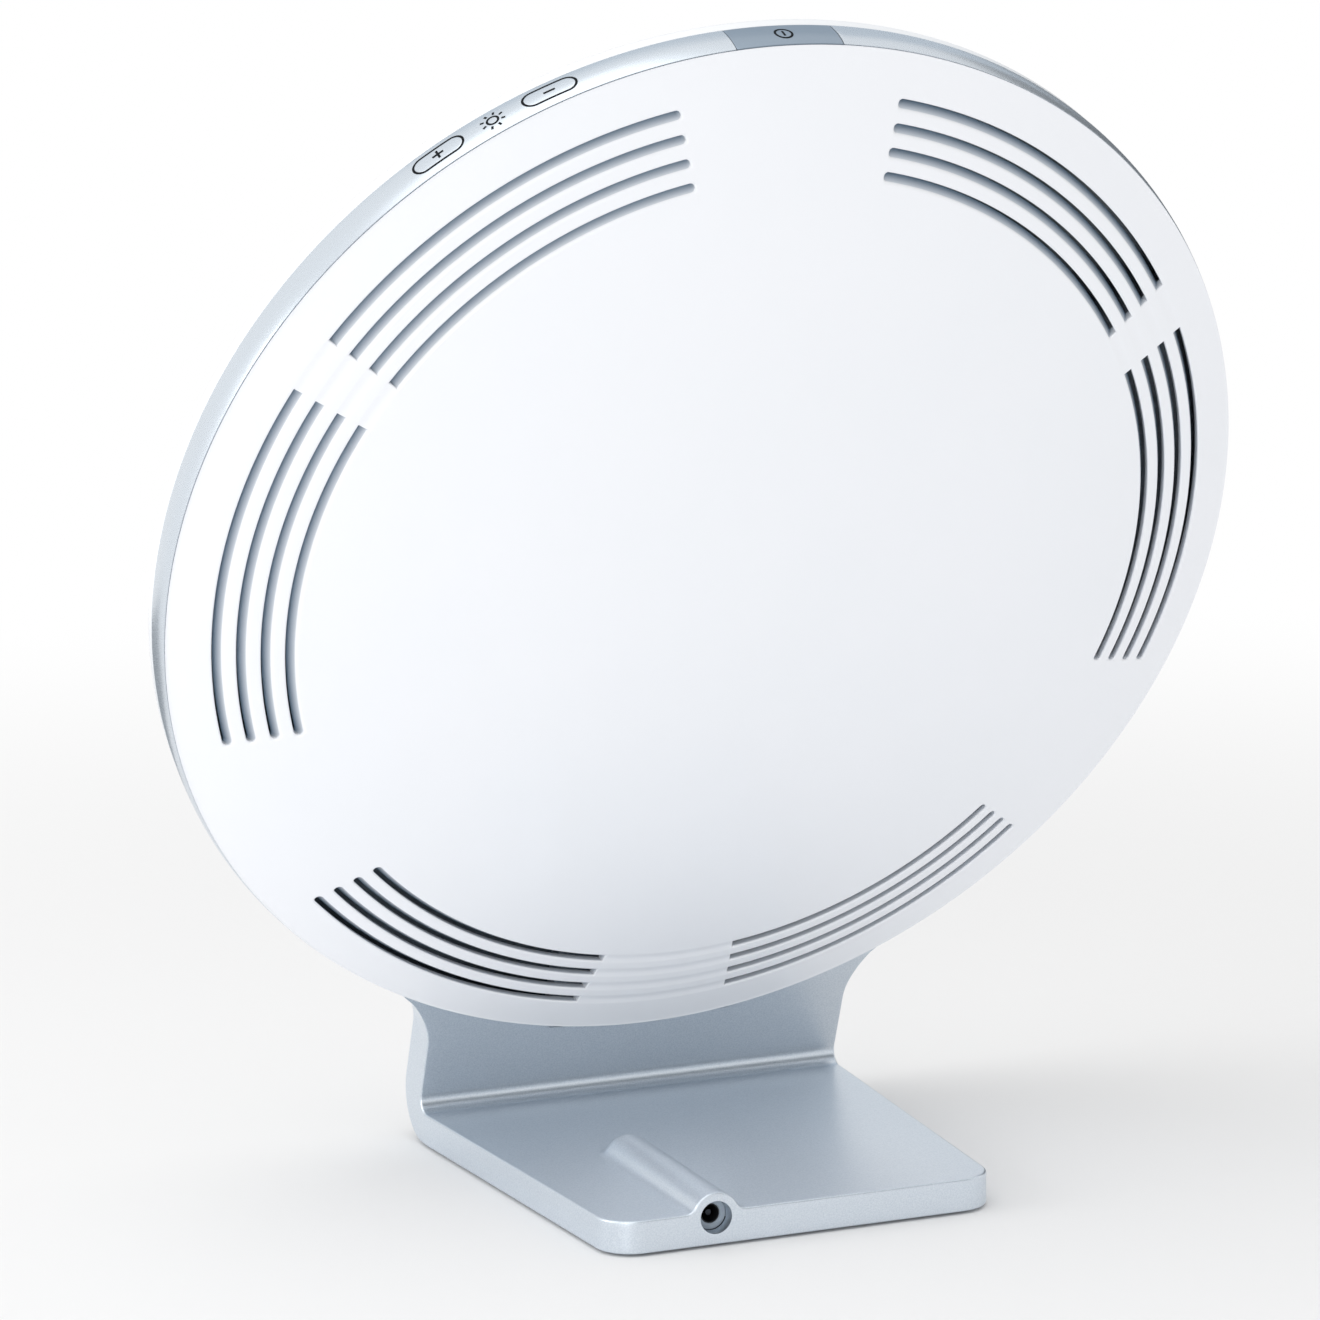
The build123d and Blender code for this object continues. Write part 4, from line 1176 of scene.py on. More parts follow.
@dataclass
class Keys:
    """Power cap and the two stadium keys."""

    power_ends: Point = (-5.44, 5.68)
    power_inner: float = 163.1
    length: float = 15.3
    width: float = 5.6
    key_inner: float = 161.6
    soft: float = 0.16
    flange: Point3 = (17.2, 0.78, 7.5)
    flange_radius: float = 161.8
    stem_radius: float = 1.5
    stem_foot: float = 160.0
    stem_depth: float = -3.6
    # Ring round a key, out from its edge and up through the band: painted shade in the gap, printed outline
    # beyond
    ring_span: Point = (0.05, 0.74)
    ring_heights: Point = (-0.6, 0.02)

    def add_stem(self, bm: bmesh.types.BMesh, angle: float, head: float) -> None:
        """Adds the round stem under a cap.

        Args:
            bm: The cap, in the disc's frame.
            angle: Its place on the rim in degrees.
            head: Radius on the disc where the stem ends inside the cap.
        """
        middle = Matrix.Translation((0, (self.stem_foot + head) / 2, self.stem_depth))
        turn = Matrix.Rotation(math.radians(angle), 4, "Z")
        bmesh.ops.create_cone(
            bm, cap_ends=True, segments=32, radius1=self.stem_radius, radius2=self.stem_radius,
            depth=head - self.stem_foot, matrix=turn @ middle @ Matrix.Rotation(math.pi / 2, 4, "X"),
        )

    def build_power(self, shop: Workshop) -> None:
        """Builds the power cap and its stem.

        Args:
            shop: Where the materials are.
        """
        depths = [BAND_REAR - 0.37 * n for n in range(31)]
        start, end = self.power_ends
        bm = turned([(rim_radius(d), d) for d in depths], even_columns(1.0, self.power_ends), False)
        drop_faces(bm, lambda angle, radius, depth: not start < angle < end)
        deepen(bm, self.power_inner, self.soft)
        self.add_stem(bm, 0.0, self.power_inner + 0.2)
        shop.piece(bm, "power_cap", Slot.POWER, "power_button", LAMP.disc_matrix(), ["power_button"])

    def build_key(self, shop: Workshop, angle: float, name: str) -> None:
        """Builds one stadium key with its flange and stem.

        Args:
            shop: Where the materials are.
            angle: The key's place on the rim in degrees.
            name: Name of the CAD node and of its body.
        """
        outline = Stadium(angle, KEY_DEPTH, self.length, self.width)
        depths = [KEY_DEPTH + 3.2 - ROW_STEP * n for n in range(23)]
        bm = turned([(rim_radius(d), d) for d in depths], even_columns(5.0, outline.columns(0.2)), False)
        drop_faces(bm, lambda *place: outline.distance(*outline.local(*place)) > 0)
        snap_edge(bm, outline, 0.6)
        deepen(bm, self.key_inner, self.soft)
        middle = Matrix.Translation((0, self.flange_radius, KEY_DEPTH))
        turn = Matrix.Rotation(math.radians(angle), 4, "Z")
        bmesh.ops.create_cube(bm, size=1.0, matrix=turn @ middle @ Matrix.Diagonal((*self.flange, 1)))
        self.add_stem(bm, angle, self.key_inner - 0.1)
        shop.piece(bm, f"{name}_cap", Slot.BAND, name, LAMP.disc_matrix(), [name])
        self.build_outline(shop, outline, f"{name}_outline")

    def build_outline(self, shop: Workshop, key: Stadium, name: str) -> None:
        """Builds the ink-black ring round a key, painted shade in the gap and the printed outline beside it.

        Args:
            shop: Where the materials are.
            key: The key's own outline.
            name: Name of the piece.
        """
        bm = bmesh.new()
        (inner, outer), (under, over) = self.ring_span, self.ring_heights
        straight = (key.length - key.width) / 2
        section = [(inner, under), (outer, under), (outer, over), (inner, over)]
        verts = [bm.verts.new((0.0, key.width / 2 + size, height)) for size, height in section]
        spin_line(bm, verts, ROUND_STEPS, True)
        middle = {v for v in bm.verts if abs(v.co.x) < 1e-4}
        across = [e for e in bm.edges if e.verts[0] in middle and e.verts[1] in middle]
        bmesh.ops.split_edges(bm, edges=across)
        for vert in bm.verts:
            side = sum(f.calc_center_median().x for f in vert.link_faces)
            vert.co.x += math.copysign(straight, side)
        ends = [e for e in bm.edges if e.is_boundary]
        bmesh.ops.bridge_loops(bm, edges=[e for e in ends if e.verts[0].co.y > 0])
        bmesh.ops.bridge_loops(bm, edges=[e for e in ends if e.verts[0].co.y < 0])
        runs = [e for e in bm.edges if e.calc_length() > straight]
        bmesh.ops.subdivide_edges(bm, edges=runs, cuts=14, use_grid_fill=True)
        for vert in bm.verts:
            depth = key.depth + vert.co.y
            turn = math.radians(key.angle) + vert.co.x / RIM_CROWN
            vert.co = disc_point(turn, rim_radius(depth) + vert.co.z, depth)
        shop.piece(bm, name, Slot.BLACK, "lamp", LAMP.disc_matrix(), material=shop.ink)

    def build(self, shop: Workshop) -> None:
        """Builds all three keys.

        Args:
            shop: Where the materials are.
        """
        self.build_power(shop)
        self.build_key(shop, PLUS_ANGLE, "plus_button")
        self.build_key(shop, MINUS_ANGLE, "minus_button")


@dataclass
class Prints:
    """Printed marks on band and keys, laid a hair over the surface."""

    lift: float = 0.015
    depth: float = 0.03
    sun_place: Point = (30.15, -6.0)
    power_place: Point = (0.19, -5.6)
    plus_bar: Point = (3.6, 0.84)
    plus_stub: Point = (0.74, 1.42)
    plus_reach: float = 1.13
    minus_bar: Point = (3.5, 0.84)
    sun_hoop: Point = (2.0, 0.68)
    sun_ray: Point = (1.2, 0.7)
    sun_reach: float = 3.15
    sun_rays: int = 8
    power_hoop: Point = (2.8, 0.7)
    power_bar: Point = (2.7, 0.68)

    def lay(self, bm: bmesh.types.BMesh, angle: float, middle: float) -> None:
        """Wraps flat artwork onto the band.

        Args:
            bm: Flat mesh with x along the rim and y across it, z its height.
            angle: Place on the rim in degrees.
            middle: Depth of the artwork's middle.
        """
        for vert in bm.verts:
            depth = middle + vert.co.y
            turn = math.radians(angle) + vert.co.x / RIM_CROWN
            vert.co = disc_point(turn, rim_radius(depth) + self.lift + vert.co.z, depth)

    def bar(
        self, bm: bmesh.types.BMesh, x: float, y: float, length: float, width: float, turn: float
    ) -> None:
        """Adds one straight stroke.

        Args:
            bm: The flat artwork.
            x: Middle along the rim.
            y: Middle across the rim.
            length: Length of the stroke.
            width: Width of the stroke.
            turn: Direction of the stroke in degrees.
        """
        place = Matrix.Translation((x, y, 0)) @ Matrix.Rotation(math.radians(turn), 4, "Z")
        size = Matrix.Diagonal((length, width, self.depth, 1))
        made = bmesh.ops.create_cube(bm, size=1.0, matrix=place @ size)
        edges = {e for v in made["verts"] for e in v.link_edges if e.calc_length() > length * 0.9}
        bmesh.ops.subdivide_edges(bm, edges=list(edges), cuts=6, use_grid_fill=True)

    def hoop(self, bm: bmesh.types.BMesh, outer: float, stroke: float) -> None:
        """Adds a ring round the artwork's middle.

        Args:
            bm: The flat artwork.
            outer: Outer radius.
            stroke: Width of the stroke.
        """
        inner, half = outer - stroke, self.depth / 2
        section = [(inner, -half), (outer, -half), (outer, half), (inner, half)]
        verts = [bm.verts.new((radius, 0, height)) for radius, height in section]
        spin_line(bm, verts, ROUND_STEPS, True)

    def print_on(
        self, shop: Workshop, name: str, body: str, slot: Slot, angle: float, middle: float,
        draw: Callable[[bmesh.types.BMesh], None],
    ) -> None:
        """Args:
            shop: Where the materials are.
            name: Name of the piece.
            body: Body that it is printed on.
            slot: Slot of the piece under it.
            angle: Place on the rim in degrees.
            middle: Depth of its middle.
            draw: Draws the flat artwork.
        """
        bm = bmesh.new()
        draw(bm)
        self.lay(bm, angle, middle)
        shop.piece(bm, name, slot, body, LAMP.disc_matrix(), material=shop.ink)

    def plus(self, bm: bmesh.types.BMesh) -> None:
        """Draws a plus sign from a bar and a stub on each side of it.

        Args:
            bm: The flat artwork.
        """
        self.bar(bm, 0, 0, *self.plus_bar, 0)
        for side in (1, -1):
            self.bar(bm, 0, side * self.plus_reach, *self.plus_stub, 0)

    def minus(self, bm: bmesh.types.BMesh) -> None:
        """Draws a minus sign."""
        self.bar(bm, 0, 0, *self.minus_bar, 0)

    def sun(self, bm: bmesh.types.BMesh) -> None:
        """Draws a small sun with its rays.

        Args:
            bm: The flat artwork.
        """
        self.hoop(bm, *self.sun_hoop)
        for number in range(self.sun_rays):
            turn = 360 * (number + 0.5) / self.sun_rays
            x, y = math.cos(math.radians(turn)), math.sin(math.radians(turn))
            self.bar(bm, self.sun_reach * x, self.sun_reach * y, *self.sun_ray, turn)

    def power(self, bm: bmesh.types.BMesh) -> None:
        """Draws a ring with a bar in it."""
        self.hoop(bm, *self.power_hoop)
        self.bar(bm, 0, 0, *self.power_bar, 90)

    def build(self, shop: Workshop) -> None:
        """Prints every mark.

        Args:
            shop: Where the materials are.
        """
        self.print_on(shop, "print_plus", "plus_button", Slot.BAND, PLUS_ANGLE, KEY_DEPTH, self.plus)
        self.print_on(shop, "print_minus", "minus_button", Slot.BAND, MINUS_ANGLE, KEY_DEPTH, self.minus)
        self.print_on(shop, "print_sun", "lamp", Slot.BAND, *self.sun_place, self.sun)
        self.print_on(shop, "print_power", "power_button", Slot.POWER, *self.power_place, self.power)


# ------------------------------------------------------------------ front frame and diffuser
@dataclass
class FrontFrame:
    """White bezel with a rounded outer edge."""

    outer: float = 165.3
    front: float = -17.2
    corner: float = 2.5
    rear: float = -11.725
    window: float = 150.0
    lip: float = 1.8
    seat: Point = (161.5, 163.9)
    seat_depth: float = -11.6

    def build(self, shop: Workshop) -> None:
        """Args:
            shop: Where the materials are.
        """
        (inner, step), rear, corner = self.seat, self.rear, self.corner
        back = self.front + self.lip
        profile: list[Point] = [(inner, self.seat_depth), (step, self.seat_depth), (step, rear)]
        # The rear outer edge is broken by 0.15 mm, the window's edge by 0.5 mm
        profile += [(self.outer - 0.15, rear), (self.outer - 0.04, rear - 0.05), (self.outer, rear - 0.16)]
        for number in range(11):
            a = math.radians(9.0 * number)
            profile.append(
                (self.outer - corner + corner * math.cos(a), self.front + corner - corner * math.sin(a))
            )
        profile += [(158.0, self.front), (self.window + 0.5, self.front)]
        profile += [(self.window + 0.15, self.front + 0.12), (self.window, self.front + 0.45)]
        profile += [(self.window, back), (inner, back)]
        bm = turned(profile, even_columns(1.0), True)
        shop.piece(bm, "bezel_skin", Slot.FRAME, "lamp", LAMP.disc_matrix(), ["front_frame"], sharp=50)


@dataclass
class Diffuser:
    """Opal sheet behind the bezel."""

    radius: float = 161.2
    front: float = -15.4
    rear: float = -13.0

    def build(self, shop: Workshop) -> None:
        """Args:
            shop: Where the materials are.
        """
        profile = [(0.0, self.front)] + [(self.radius * n / 10, self.front) for n in range(1, 11)]
        profile += [(self.radius, self.rear), (self.radius / 2, self.rear), (0.0, self.rear)]
        bm = turned(profile, even_columns(2.0), False)
        shop.piece(bm, "diffuser_sheet", Slot.DIFFUSER, "lamp", LAMP.disc_matrix(), ["diffuser"])


# ------------------------------------------------------------------ stand
@dataclass(frozen=True)
class Station:
    """One cross line of the unfolded plate and the outline's direction where it ends."""

    run: float
    half: float
    out_across: float
    out_run: float
    soft: float


@dataclass
class Stand:
    """One plate bent from base to neck, flared to the rim, with a half-round boss."""

    floor: float = 0.8
    plate: float = 9.7
    rear: float = 72.05
    rear_half: float = 60.0
    neck_half: float = 68.5
    corner: float = 11.0
    bend: float = 4.0
    neck_depth: float = -1.2
    neck_plate: float = 13.47
    outer_bend: float = 14.0
    flare: float = 19.0
    saddle: float = 0.1
    boss_x: float = 28.0
    boss_z: float = 8.76
    boss_radius: float = 7.3
    boss_end: float = 6.05
    boss_foot: float = 3.5
    jack_radius: float = 4.7
    soft: float = 0.6
    core: float = 48.0
    pocket_top: float = 7.5
    pocket_wall: float = 4.0
    saddle_drops: tuple[float, ...] = (2.3, 4.6, 6.9, 10.15)
    tongue: Point3 = (60.0, 5.3, 36.6)
    tongue_up: float = -146.3
    tongue_depth: float = -3.85
    mouth: tuple[Point, ...] = ((0.5, 1.0), (0.5, 0.0), (0.15, -0.06), (0.0, -0.32))
    recess_end: float = -25.0
    pocket_front: float = 1.0
    pocket_corner: float = 8.6
    liner_ends: Point = (-4.85, -13.9)
    liner_radii: Point = (2.6, 2.87)
    liner_floor: float = 0.3
    pin_radius: float = 1.1

    @property
    def top(self) -> float:
        """Height of the base's upper face."""
        return self.floor + self.plate

    @property
    def start(self) -> float:
        """Y where the flat base ends and the bend begins."""
        s, c = math.sin(LAMP.lean), math.cos(LAMP.lean)
        up = (self.top - LAMP.height + self.neck_depth * s) / c
        corner = LAMP.shift + up * s + self.neck_depth * c
        return corner + self.bend / math.tan((math.pi / 2 - LAMP.lean) / 2)

    @property
    def outer_start(self) -> float:
        """Y where the outer bend begins under the base."""
        s, c = math.sin(LAMP.lean), math.cos(LAMP.lean)
        depth = self.neck_depth - self.neck_plate
        up = (self.floor - LAMP.height + depth * s) / c
        corner = LAMP.shift + up * s + depth * c
        return corner + self.outer_bend / math.tan((math.pi / 2 - LAMP.lean) / 2)

    @property
    def base_run(self) -> float:
        """Length of the flat base along the plate."""
        return self.rear - self.start

    @property
    def bend_run(self) -> float:
        """Length of the bend along the plate's middle."""
        return (math.pi / 2 + LAMP.lean) * (self.bend + self.plate / 2)

    @property
    def low(self) -> float:
        """Place up the disc where the bend runs into the neck."""
        height = self.top + self.bend + self.bend * math.sin(LAMP.lean)
        return (height - LAMP.height + self.neck_depth * math.sin(LAMP.lean)) / math.cos(LAMP.lean)

    @property
    def jack_axis(self) -> Matrix:
        """Place of the jack's mouth in millimetres, its own z axis pointing out of the base."""
        mouth = Matrix.Translation((self.boss_x, self.rear, self.boss_z))
        return mouth @ Matrix.Rotation(-math.pi / 2, 4, "X")

    @property
    def flare_centre(self) -> Point:
        """Middle of the flare's arc, across and up the disc."""
        across = self.neck_half + self.flare
        return across, -math.sqrt((RIM_CROWN + self.flare) ** 2 - across**2)

    @property
    def flare_turn(self) -> float:
        """Angle of the flare's arc from the straight side to the rim."""
        return math.acos(self.flare_centre[0] / (RIM_CROWN + self.flare))

    def crown(self, across: float, y: float) -> Point:
        """Height of the upper face with the boss on it.

        Args:
            across: X of the point.
            y: Y of the point.

        Returns:
            Its height above the floor, and how much longer the slope is than its plan.
        """
        away = math.hypot(across - self.boss_x, min(0.0, y - self.boss_end))
        foot_up = self.top + self.boss_foot - self.boss_z
        reach = math.sqrt((self.boss_radius + self.boss_foot) ** 2 - foot_up**2)
        if away >= reach:
            return self.top, 1.0
        switch = reach * self.boss_radius / (self.boss_radius + self.boss_foot)
        if away <= switch:
            rise = math.sqrt(self.boss_radius**2 - away**2)
            return self.boss_z + rise, self.boss_radius / rise
        rise = math.sqrt(self.boss_foot**2 - (reach - away) ** 2)
        return self.top + self.boss_foot - rise, self.boss_foot / rise

    def fold(self, across: float, run: float, drop: float, under: bool) -> Vector:
        """Lays a point of the unfolded plate into its folded place.

        Args:
            across: X of the point.
            run: Way along the plate from its rear edge.
            drop: Way into the plate from the face that the point is next to.
            under: Whether that is the lower and front face.

        Returns:
            The point in the lamp's frame in millimetres.
        """
        if run <= self.base_run:
            y = self.rear - run
            if under:
                return Vector((across, y, self.floor + drop))
            height, slope = self.crown(across, y)
            return Vector((across, y, height - drop * slope))
        if run <= self.base_run + self.bend_run:
            turn = (run - self.base_run) / (self.bend + self.plate / 2)
            begin, size, height = self.start, self.bend + drop, self.top + self.bend
            if under:
                begin, size, height = self.outer_start, self.outer_bend - drop, self.floor + self.outer_bend
            return Vector((across, begin - size * math.sin(turn), height - size * math.cos(turn)))
        up = self.low + run - self.base_run - self.bend_run
        depth = self.neck_depth - (self.neck_plate - drop if under else drop)
        end_up = self.flare_centre[1] + self.flare * math.sin(self.flare_turn)
        lift = -math.sqrt((rim_radius(depth) + self.saddle) ** 2 - across**2) - end_up
        return LAMP.point(across, up + lift * (up - self.low) / (end_up - self.low), depth)

    def between(self, across: float, run: float, share: float) -> Vector:
        """A point of the plate's side.

        Args:
            across: X of the point.
            run: Way along the plate from its rear edge.
            share: Share of the way from the upper to the lower face.

        Returns:
            The point in the lamp's frame in millimetres.
        """
        if run > self.base_run + self.bend_run:
            return self.fold(across, run, share * self.neck_plate, False)
        return self.fold(across, run, 0.0, False).lerp(self.fold(across, run, 0.0, True), share)

    def stations(self) -> list[Station]:
        """Cross lines from the rear edge to the tips of the flare."""
        taper = (self.neck_half - self.rear_half) / self.base_run
        lean = math.atan(taper)
        stretch = math.hypot(1.0, taper)
        arc_x = self.rear_half + taper * self.corner - self.corner * stretch
        made = []
        for number in range(11):
            a = math.pi / 2 - (math.pi / 2 - lean) * number / 10
            size = self.corner - self.soft
            run, half = self.corner - size * math.sin(a), arc_x + size * math.cos(a)
            made.append(Station(run, half, math.cos(a), -math.sin(a), self.soft))
        # Coarse lines over the base, fine ones where the boss ends, and coarse ones on to the bend
        runs = [self.corner + 1.5 + 4.0 * n for n in range(13)]
        runs += [self.rear - self.boss_end - 0.6 + 0.45 * n for n in range(26)]
        last = runs[-1]
        runs += [last + (self.base_run - last) * n / 9 for n in range(1, 10)]
        for run in runs:
            half = self.rear_half + taper * run - self.soft * stretch
            made.append(Station(run, half, 1 / stretch, -taper / stretch, self.soft))
        half = self.neck_half - self.soft
        for number in range(1, 21):
            made.append(Station(self.base_run + self.bend_run * number / 20, half, 1.0, 0.0, self.soft))
        begin = self.base_run + self.bend_run
        across, middle = self.flare_centre
        for number in range(1, 6):
            made.append(Station(begin + (middle - self.low) * number / 6, half, 1.0, 0.0, self.soft))
        for number in range(27):
            a = self.flare_turn * number / 26
            left = self.flare_turn - a
            soft = min(self.soft, 14.0 * left * left)
            size = self.flare + soft
            run = begin + middle - self.low + size * math.sin(a)
            made.append(Station(run, across - size * math.cos(a), math.cos(a), math.sin(a), soft))
        return made

    def shares(self, half: float) -> list[float]:
        """X of the points on one cross line.

        Args:
            half: Half width of the line.

        Returns:
            The points from left to right.
        """
        # Coarse points over the middle, fine ones across the boss, and close ones at the edge
        inner = [-self.core + 6.0 * n for n in range(11)]
        inner += [self.boss_x - 10.4 + 0.4 * n for n in range(53)] + [43.0, self.core]
        edge = [self.core + (half - self.core) * share for share in (0.25, 0.5, 0.72, 0.9, 1.0)]
        return [-x for x in reversed(edge)] + sorted(set(round(x, 3) for x in inner)) + edge

    def plate_mesh(self) -> bmesh.types.BMesh:
        """Folds the plate from two grids and a rounded edge between them.

        Returns:
            The closed plate in the lamp's frame in millimetres.
        """
        stations = self.stations()
        columns, rows = len(self.shares(60.0)), len(stations)
        bm = bmesh.new()
        seat = bm.verts.layers.int.new("seat")
        bmesh.ops.create_grid(bm, x_segments=columns - 1, y_segments=rows - 1, size=1.0)
        flat: list[tuple[float, float, float, float, float]] = []
        for vert in bm.verts:
            i = round((vert.co.x + 1) / 2 * (columns - 1))
            j = round((vert.co.y + 1) / 2 * (rows - 1))
            line = stations[j]
            side = -1 if i == 0 else 1
            across = self.shares(line.half)[i]
            out = (side * line.out_across, line.out_run) if i in (0, columns - 1) else (0.0, -1.0)
            vert[seat] = len(flat)
            flat.append((across, line.run, out[0], out[1], line.soft))
            vert.co = Vector((i, j, 0))
        grid = list(bm.faces)
        open_edges = [e for e in bm.edges if e.is_boundary]
        saddle = [e for e in open_edges if all(v.co.y > rows - 1.5 for v in e.verts)]
        rim = [e for e in open_edges if e not in set(saddle)]
        copy = bmesh.ops.duplicate(bm, geom=grid)["geom"]
        lower = {v for v in copy if isinstance(v, bmesh.types.BMVert)}
        rings = [(math.sin(a), 1 - math.cos(a), 0.0) for a in (math.pi / 6, math.pi / 3, math.pi / 2)]
        rings += [(1.0, 0.0, drop / self.neck_plate) for drop in self.saddle_drops]
        rings += [(math.sin(a), 1 - math.cos(a), 1.0) for a in (math.pi / 2, math.pi / 3, math.pi / 6, 0.0)]
        placed = {v: (0.0, 0.0, float(v in lower)) for v in bm.verts}
        edges = rim
        for ring in rings:
            made = bmesh.ops.extrude_edge_only(bm, edges=edges)["geom"]
            edges = [g for g in made if isinstance(g, bmesh.types.BMEdge)]
            placed.update({g: ring for g in made if isinstance(g, bmesh.types.BMVert)})
        for vert, (out, down, share) in placed.items():
            across, run, out_x, out_run, soft = flat[vert[seat]]
            across, run = across + out * soft * out_x, run + out * soft * out_run
            if share in (0.0, 1.0):
                vert.co = self.fold(across, run, down * soft, share == 1.0)
            else:
                vert.co = self.between(across, run, share)
        for drop in (*self.saddle_drops, self.neck_plate):
            made = bmesh.ops.extrude_edge_only(bm, edges=saddle)["geom"]
            saddle = [g for g in made if isinstance(g, bmesh.types.BMEdge)]
            for vert in (g for g in made if isinstance(g, bmesh.types.BMVert)):
                vert.co = self.fold(flat[vert[seat]][0], flat[vert[seat]][1], drop, False)
        bmesh.ops.remove_doubles(bm, verts=bm.verts, dist=1e-3)
        return bm

    def recess_tool(self) -> bpy.types.Object:
        """Makes the tool that opens the jack's recess, with a softened mouth."""
        bm = bmesh.new()
        points = [(0.0, self.mouth[0][1])] + [(self.jack_radius + out, z) for out, z in self.mouth]
        points += [(self.jack_radius, self.recess_end), (0.0, self.recess_end)]
        spin_line(bm, [bm.verts.new((radius, 0, height)) for radius, height in points], 72, False)
        return tool_object(bm, "recess_tool", self.jack_axis)

    def pocket_tool(self) -> bpy.types.Object:
        """Makes the tool that hollows the base from below."""
        bm = bmesh.new()
        taper = (self.neck_half - self.rear_half) / self.base_run
        front, rear = self.start + self.pocket_front, self.rear - self.pocket_wall
        under = -1.0
        bmesh.ops.create_cube(bm, size=1.0)
        for vert in bm.verts:
            y = rear if vert.co.y > 0 else front
            half = self.rear_half + taper * (self.rear - y) - self.pocket_wall
            height = self.pocket_top if vert.co.z > 0 else under
            vert.co = Vector((math.copysign(half, vert.co.x), y, height))
        corners = [e for e in bm.edges if e.verts[0].co.xy == e.verts[1].co.xy and e.verts[0].co.y > 0]
        round_edges(bm, corners, self.pocket_corner, 8)
        return tool_object(bm, "pocket_tool", Matrix.Identity(4))

    def build(self, shop: Workshop) -> None:
        """Args:
            shop: Where the materials are.
        """
        shop.piece(
            self.plate_mesh(), "stand_casting", Slot.CASTING, "lamp", Matrix.Scale(MM, 4), ["stand"],
            sharp=36, tools=(self.recess_tool(), self.pocket_tool()),
        )
        middle = Matrix.Translation(LAMP.point(0, self.tongue_up, self.tongue_depth))
        lean = Matrix.Rotation(-LAMP.lean, 4, "X")
        bm = bmesh.new()
        bmesh.ops.create_cube(bm, size=1.0, matrix=middle @ lean @ Matrix.Diagonal((*self.tongue, 1)))
        round_edges(bm, bm.edges, 0.5, 2)
        shop.piece(bm, "stand_tongue", Slot.CASTING, "lamp", Matrix.Scale(MM, 4))
        self.build_liner(shop)

    def build_liner(self, shop: Workshop) -> None:
        """Builds the black liner of the jack's bore, open round the pin.

        Args:
            shop: Where the materials are.
        """
        bm = bmesh.new()
        (near, far), (inner, outer), pin = self.liner_ends, self.liner_radii, self.pin_radius
        step = far + self.liner_floor
        points = [(pin, far), (outer, far), (outer, near), (inner, near), (inner, step), (pin, step)]
        spin_line(bm, [bm.verts.new((radius, 0, height)) for radius, height in points], ROUND_STEPS, True)
        shop.piece(bm, "jack_liner", Slot.BLACK, "lamp", Matrix.Scale(MM, 4) @ self.jack_axis)


# ------------------------------------------------------------------ studio
@dataclass(frozen=True)
class Softbox:
    """One square soft lamp, in metres and watts."""

    name: str
    place: Point3
    aim: Point3
    size: float
    power: float


@dataclass(frozen=True)
class Flag:
    """One upright grey card that only shows in reflections, in metres."""

    name: str
    place: Point3
    width: float
    height: float
    grey: float


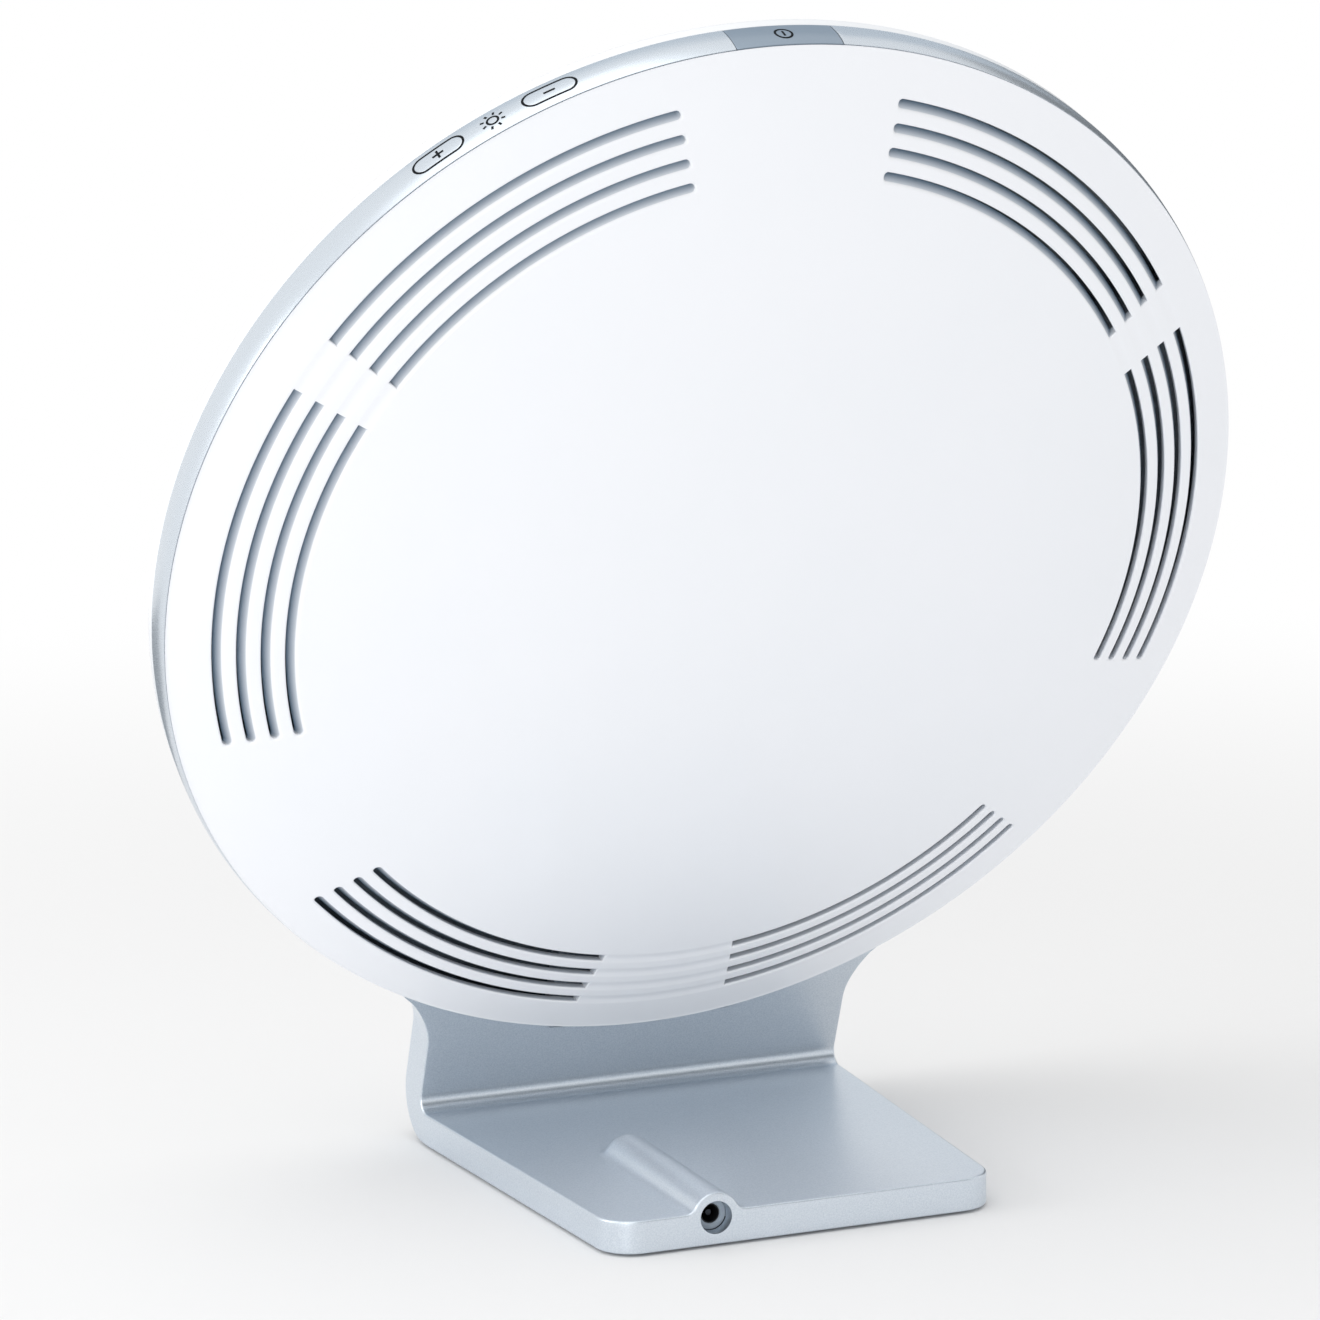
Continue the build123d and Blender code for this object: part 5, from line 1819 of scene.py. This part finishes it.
@dataclass
class Studio:
    """Pale floor, soft light, grey cards and the camera."""

    lens: float = 154.67
    yaw: float = -22.1211
    pitch: float = 11.0903
    roll: float = -0.7324
    eye: Point3 = (623.8, 1493.4, 287.6)
    world_level: float = 0.87
    floor_white: float = 0.84
    floor_fade: Point = (0.3, 0.95)
    floor_bounce: Point3 = (0.88, 0.89, 0.91)
    flag_tint: Point3 = (0.88, 1.0, 1.12)
    lamps: tuple[Softbox, ...] = (
        Softbox("high softbox", (0.4, 0.1, 1.5), (0.0, 0.0, 0.12), 1.2, 4.5),
        Softbox("left softbox", (1.4, -0.1, 0.45), (0.0, 0.0, 0.12), 0.7, 5.0),
        Softbox("low left softbox", (1.0, 1.3, 0.15), (0.0, 0.0, 0.15), 0.5, 4.0),
    )
    flags: tuple[Flag, ...] = (
        Flag("front flag", (-0.3, -1.2, 1.2), 1.6, 1.3, 0.6),
        Flag("right flag", (-1.5, -1.15, 0.72), 1.4, 1.36, 0.08),
        Flag("low flag", (0.1, -0.45, 0.05), 0.5, 0.1, 0.2),
        Flag("rear flag", (-0.55, 1.05, 1.0), 1.5, 1.0, 0.15),
    )

    def build_camera(self) -> None:
        """Places the camera."""
        a, e, r = (math.radians(v) for v in (self.yaw, self.pitch, self.roll))
        base = Matrix(((-1, 0, 0), (0, 0, -1), (0, -1, 0)))
        turn_y = Matrix(((math.cos(a), 0, math.sin(a)), (0, 1, 0), (-math.sin(a), 0, math.cos(a))))
        turn_x = Matrix(((1, 0, 0), (0, math.cos(e), -math.sin(e)), (0, math.sin(e), math.cos(e))))
        turn_z = Matrix(((math.cos(r), -math.sin(r), 0), (math.sin(r), math.cos(r), 0), (0, 0, 1)))
        right, down, ahead = turn_z @ turn_x @ turn_y @ base
        axes = Matrix((right, -down, -ahead)).transposed().to_4x4()
        place = Vector(self.eye) + Vector((0, LAMP.shift, LAMP.height))
        data = bpy.data.cameras.new("camera")
        data.lens, data.sensor_width = self.lens, 36.0
        data.clip_start, data.clip_end = 0.05, 60.0
        camera = bpy.data.objects.new("camera", data)
        camera.matrix_world = Matrix.Translation(place * MM) @ axes
        bpy.context.scene.collection.objects.link(camera)
        bpy.context.scene.camera = camera

    def seen(self, tree: bpy.types.NodeTree) -> bpy.types.NodeSocket:
        """Tells what is seen directly, in gloss or through glass from what only gives light.

        Args:
            tree: The node tree that needs it.

        Returns:
            A socket of 1 for the first and 0 for the second.
        """
        path = add_node(tree, "ShaderNodeLightPath")
        open_view = add_node(
            tree, "ShaderNodeMath", {"operation": "MAXIMUM"},
            i0=path.outputs["Is Camera Ray"], i1=path.outputs["Is Glossy Ray"],
        )
        any_view = add_node(
            tree, "ShaderNodeMath", {"operation": "MAXIMUM"},
            i0=open_view.outputs[0], i1=path.outputs["Is Transmission Ray"],
        )
        return any_view.outputs[0]

    def build_floor(self) -> None:
        """Lays a white floor that keeps the lamp's soft shadow."""
        bm = bmesh.new()
        bmesh.ops.create_grid(bm, x_segments=4, y_segments=4, size=12.0)
        floor = mesh_object(bm, "floor")
        material, tree = new_material("white studio floor")
        place = add_node(tree, "ShaderNodeTexCoord").outputs["Object"]
        far = add_node(tree, "ShaderNodeVectorMath", {"operation": "LENGTH"}, i0=place)
        fade = add_node(
            tree, "ShaderNodeMapRange", {"interpolation_type": "SMOOTHSTEP"},
            Value=far.outputs["Value"], From_Min=self.floor_fade[0], From_Max=self.floor_fade[1],
        )
        lit = add_node(tree, "ShaderNodeBsdfDiffuse", Color=(*[self.floor_white] * 3, 1.0))
        white = add_node(tree, "ShaderNodeEmission", Color=WHITE, Strength=1.0)
        shown = add_node(
            tree, "ShaderNodeMixShader", i0=fade.outputs["Result"], i1=lit.outputs[0], i2=white.outputs[0]
        )
        plain = add_node(tree, "ShaderNodeBsdfDiffuse", Color=(*self.floor_bounce, 1.0))
        mixed = add_node(
            tree, "ShaderNodeMixShader", i0=self.seen(tree), i1=plain.outputs[0], i2=shown.outputs[0]
        )
        add_node(tree, "ShaderNodeOutputMaterial", Surface=mixed.outputs[0])
        floor.data.materials.append(material)

    def build_world(self) -> None:
        """Sets an even pale surround that the camera sees as white."""
        world = bpy.data.worlds.new("studio")
        bpy.context.scene.world = world
        world.use_nodes = True
        tree = world.node_tree
        tree.nodes.clear()
        soft = add_node(tree, "ShaderNodeBackground", Color=WHITE, Strength=self.world_level)
        white = add_node(tree, "ShaderNodeBackground", Color=WHITE, Strength=1.0)
        mixed = add_node(
            tree, "ShaderNodeMixShader", i0=self.seen(tree), i1=soft.outputs[0], i2=white.outputs[0]
        )
        add_node(tree, "ShaderNodeOutputWorld", Surface=mixed.outputs[0])

    def build_flag(self, flag: Flag) -> None:
        """Stands one grey card that shades the reflections in silver and gloss.

        Args:
            flag: Its middle, size and grey.
        """
        bm = bmesh.new()
        turn = Vector((flag.place[0], flag.place[1], 0.0)).to_track_quat("Z", "Y").to_matrix().to_4x4()
        size = Matrix.Diagonal((flag.width, flag.height, 1.0, 1.0))
        upright = Matrix.Translation(flag.place) @ turn @ size
        bmesh.ops.create_grid(bm, x_segments=1, y_segments=1, size=0.5, matrix=upright)
        card = mesh_object(bm, flag.name)
        material, tree = new_material("grey flag cloth")
        grey = [flag.grey * tint for tint in self.flag_tint]
        cloth = add_node(tree, "ShaderNodeEmission", Color=(*grey, 1.0), Strength=1.0)
        add_node(tree, "ShaderNodeOutputMaterial", Surface=cloth.outputs[0])
        card.data.materials.append(material)
        card.visible_camera = card.visible_diffuse = card.visible_shadow = False

    def build_lamp(self, box: Softbox) -> None:
        """Hangs one softbox.

        Args:
            box: Its place, aim, size and power.
        """
        data = bpy.data.lights.new(box.name, "AREA")
        data.shape, data.size, data.energy = "SQUARE", box.size, box.power
        lamp = bpy.data.objects.new(box.name, data)
        direction = Vector(box.aim) - Vector(box.place)
        lamp.rotation_mode = "QUATERNION"
        lamp.location = box.place
        lamp.rotation_quaternion = direction.to_track_quat("-Z", "Y")
        bpy.context.scene.collection.objects.link(lamp)

    def build(self) -> None:
        """Builds floor, light and camera."""
        self.build_camera()
        self.build_floor()
        self.build_world()
        for box in self.lamps:
            self.build_lamp(box)
        for flag in self.flags:
            self.build_flag(flag)
        bpy.context.scene.view_settings.view_transform = "Standard"


def main() -> None:
    """Loads the frame and builds every piece around it."""
    logging.basicConfig(level=logging.INFO, format="%(name)s %(message)s")
    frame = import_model()
    Studio().build()
    shop = Workshop()
    shop.dress(frame)
    for part in (RearCover(), RimBand(), Keys(), Prints(), FrontFrame(), Diffuser(), Stand()):
        part.build(shop)


if __name__ == "__main__":
    main()
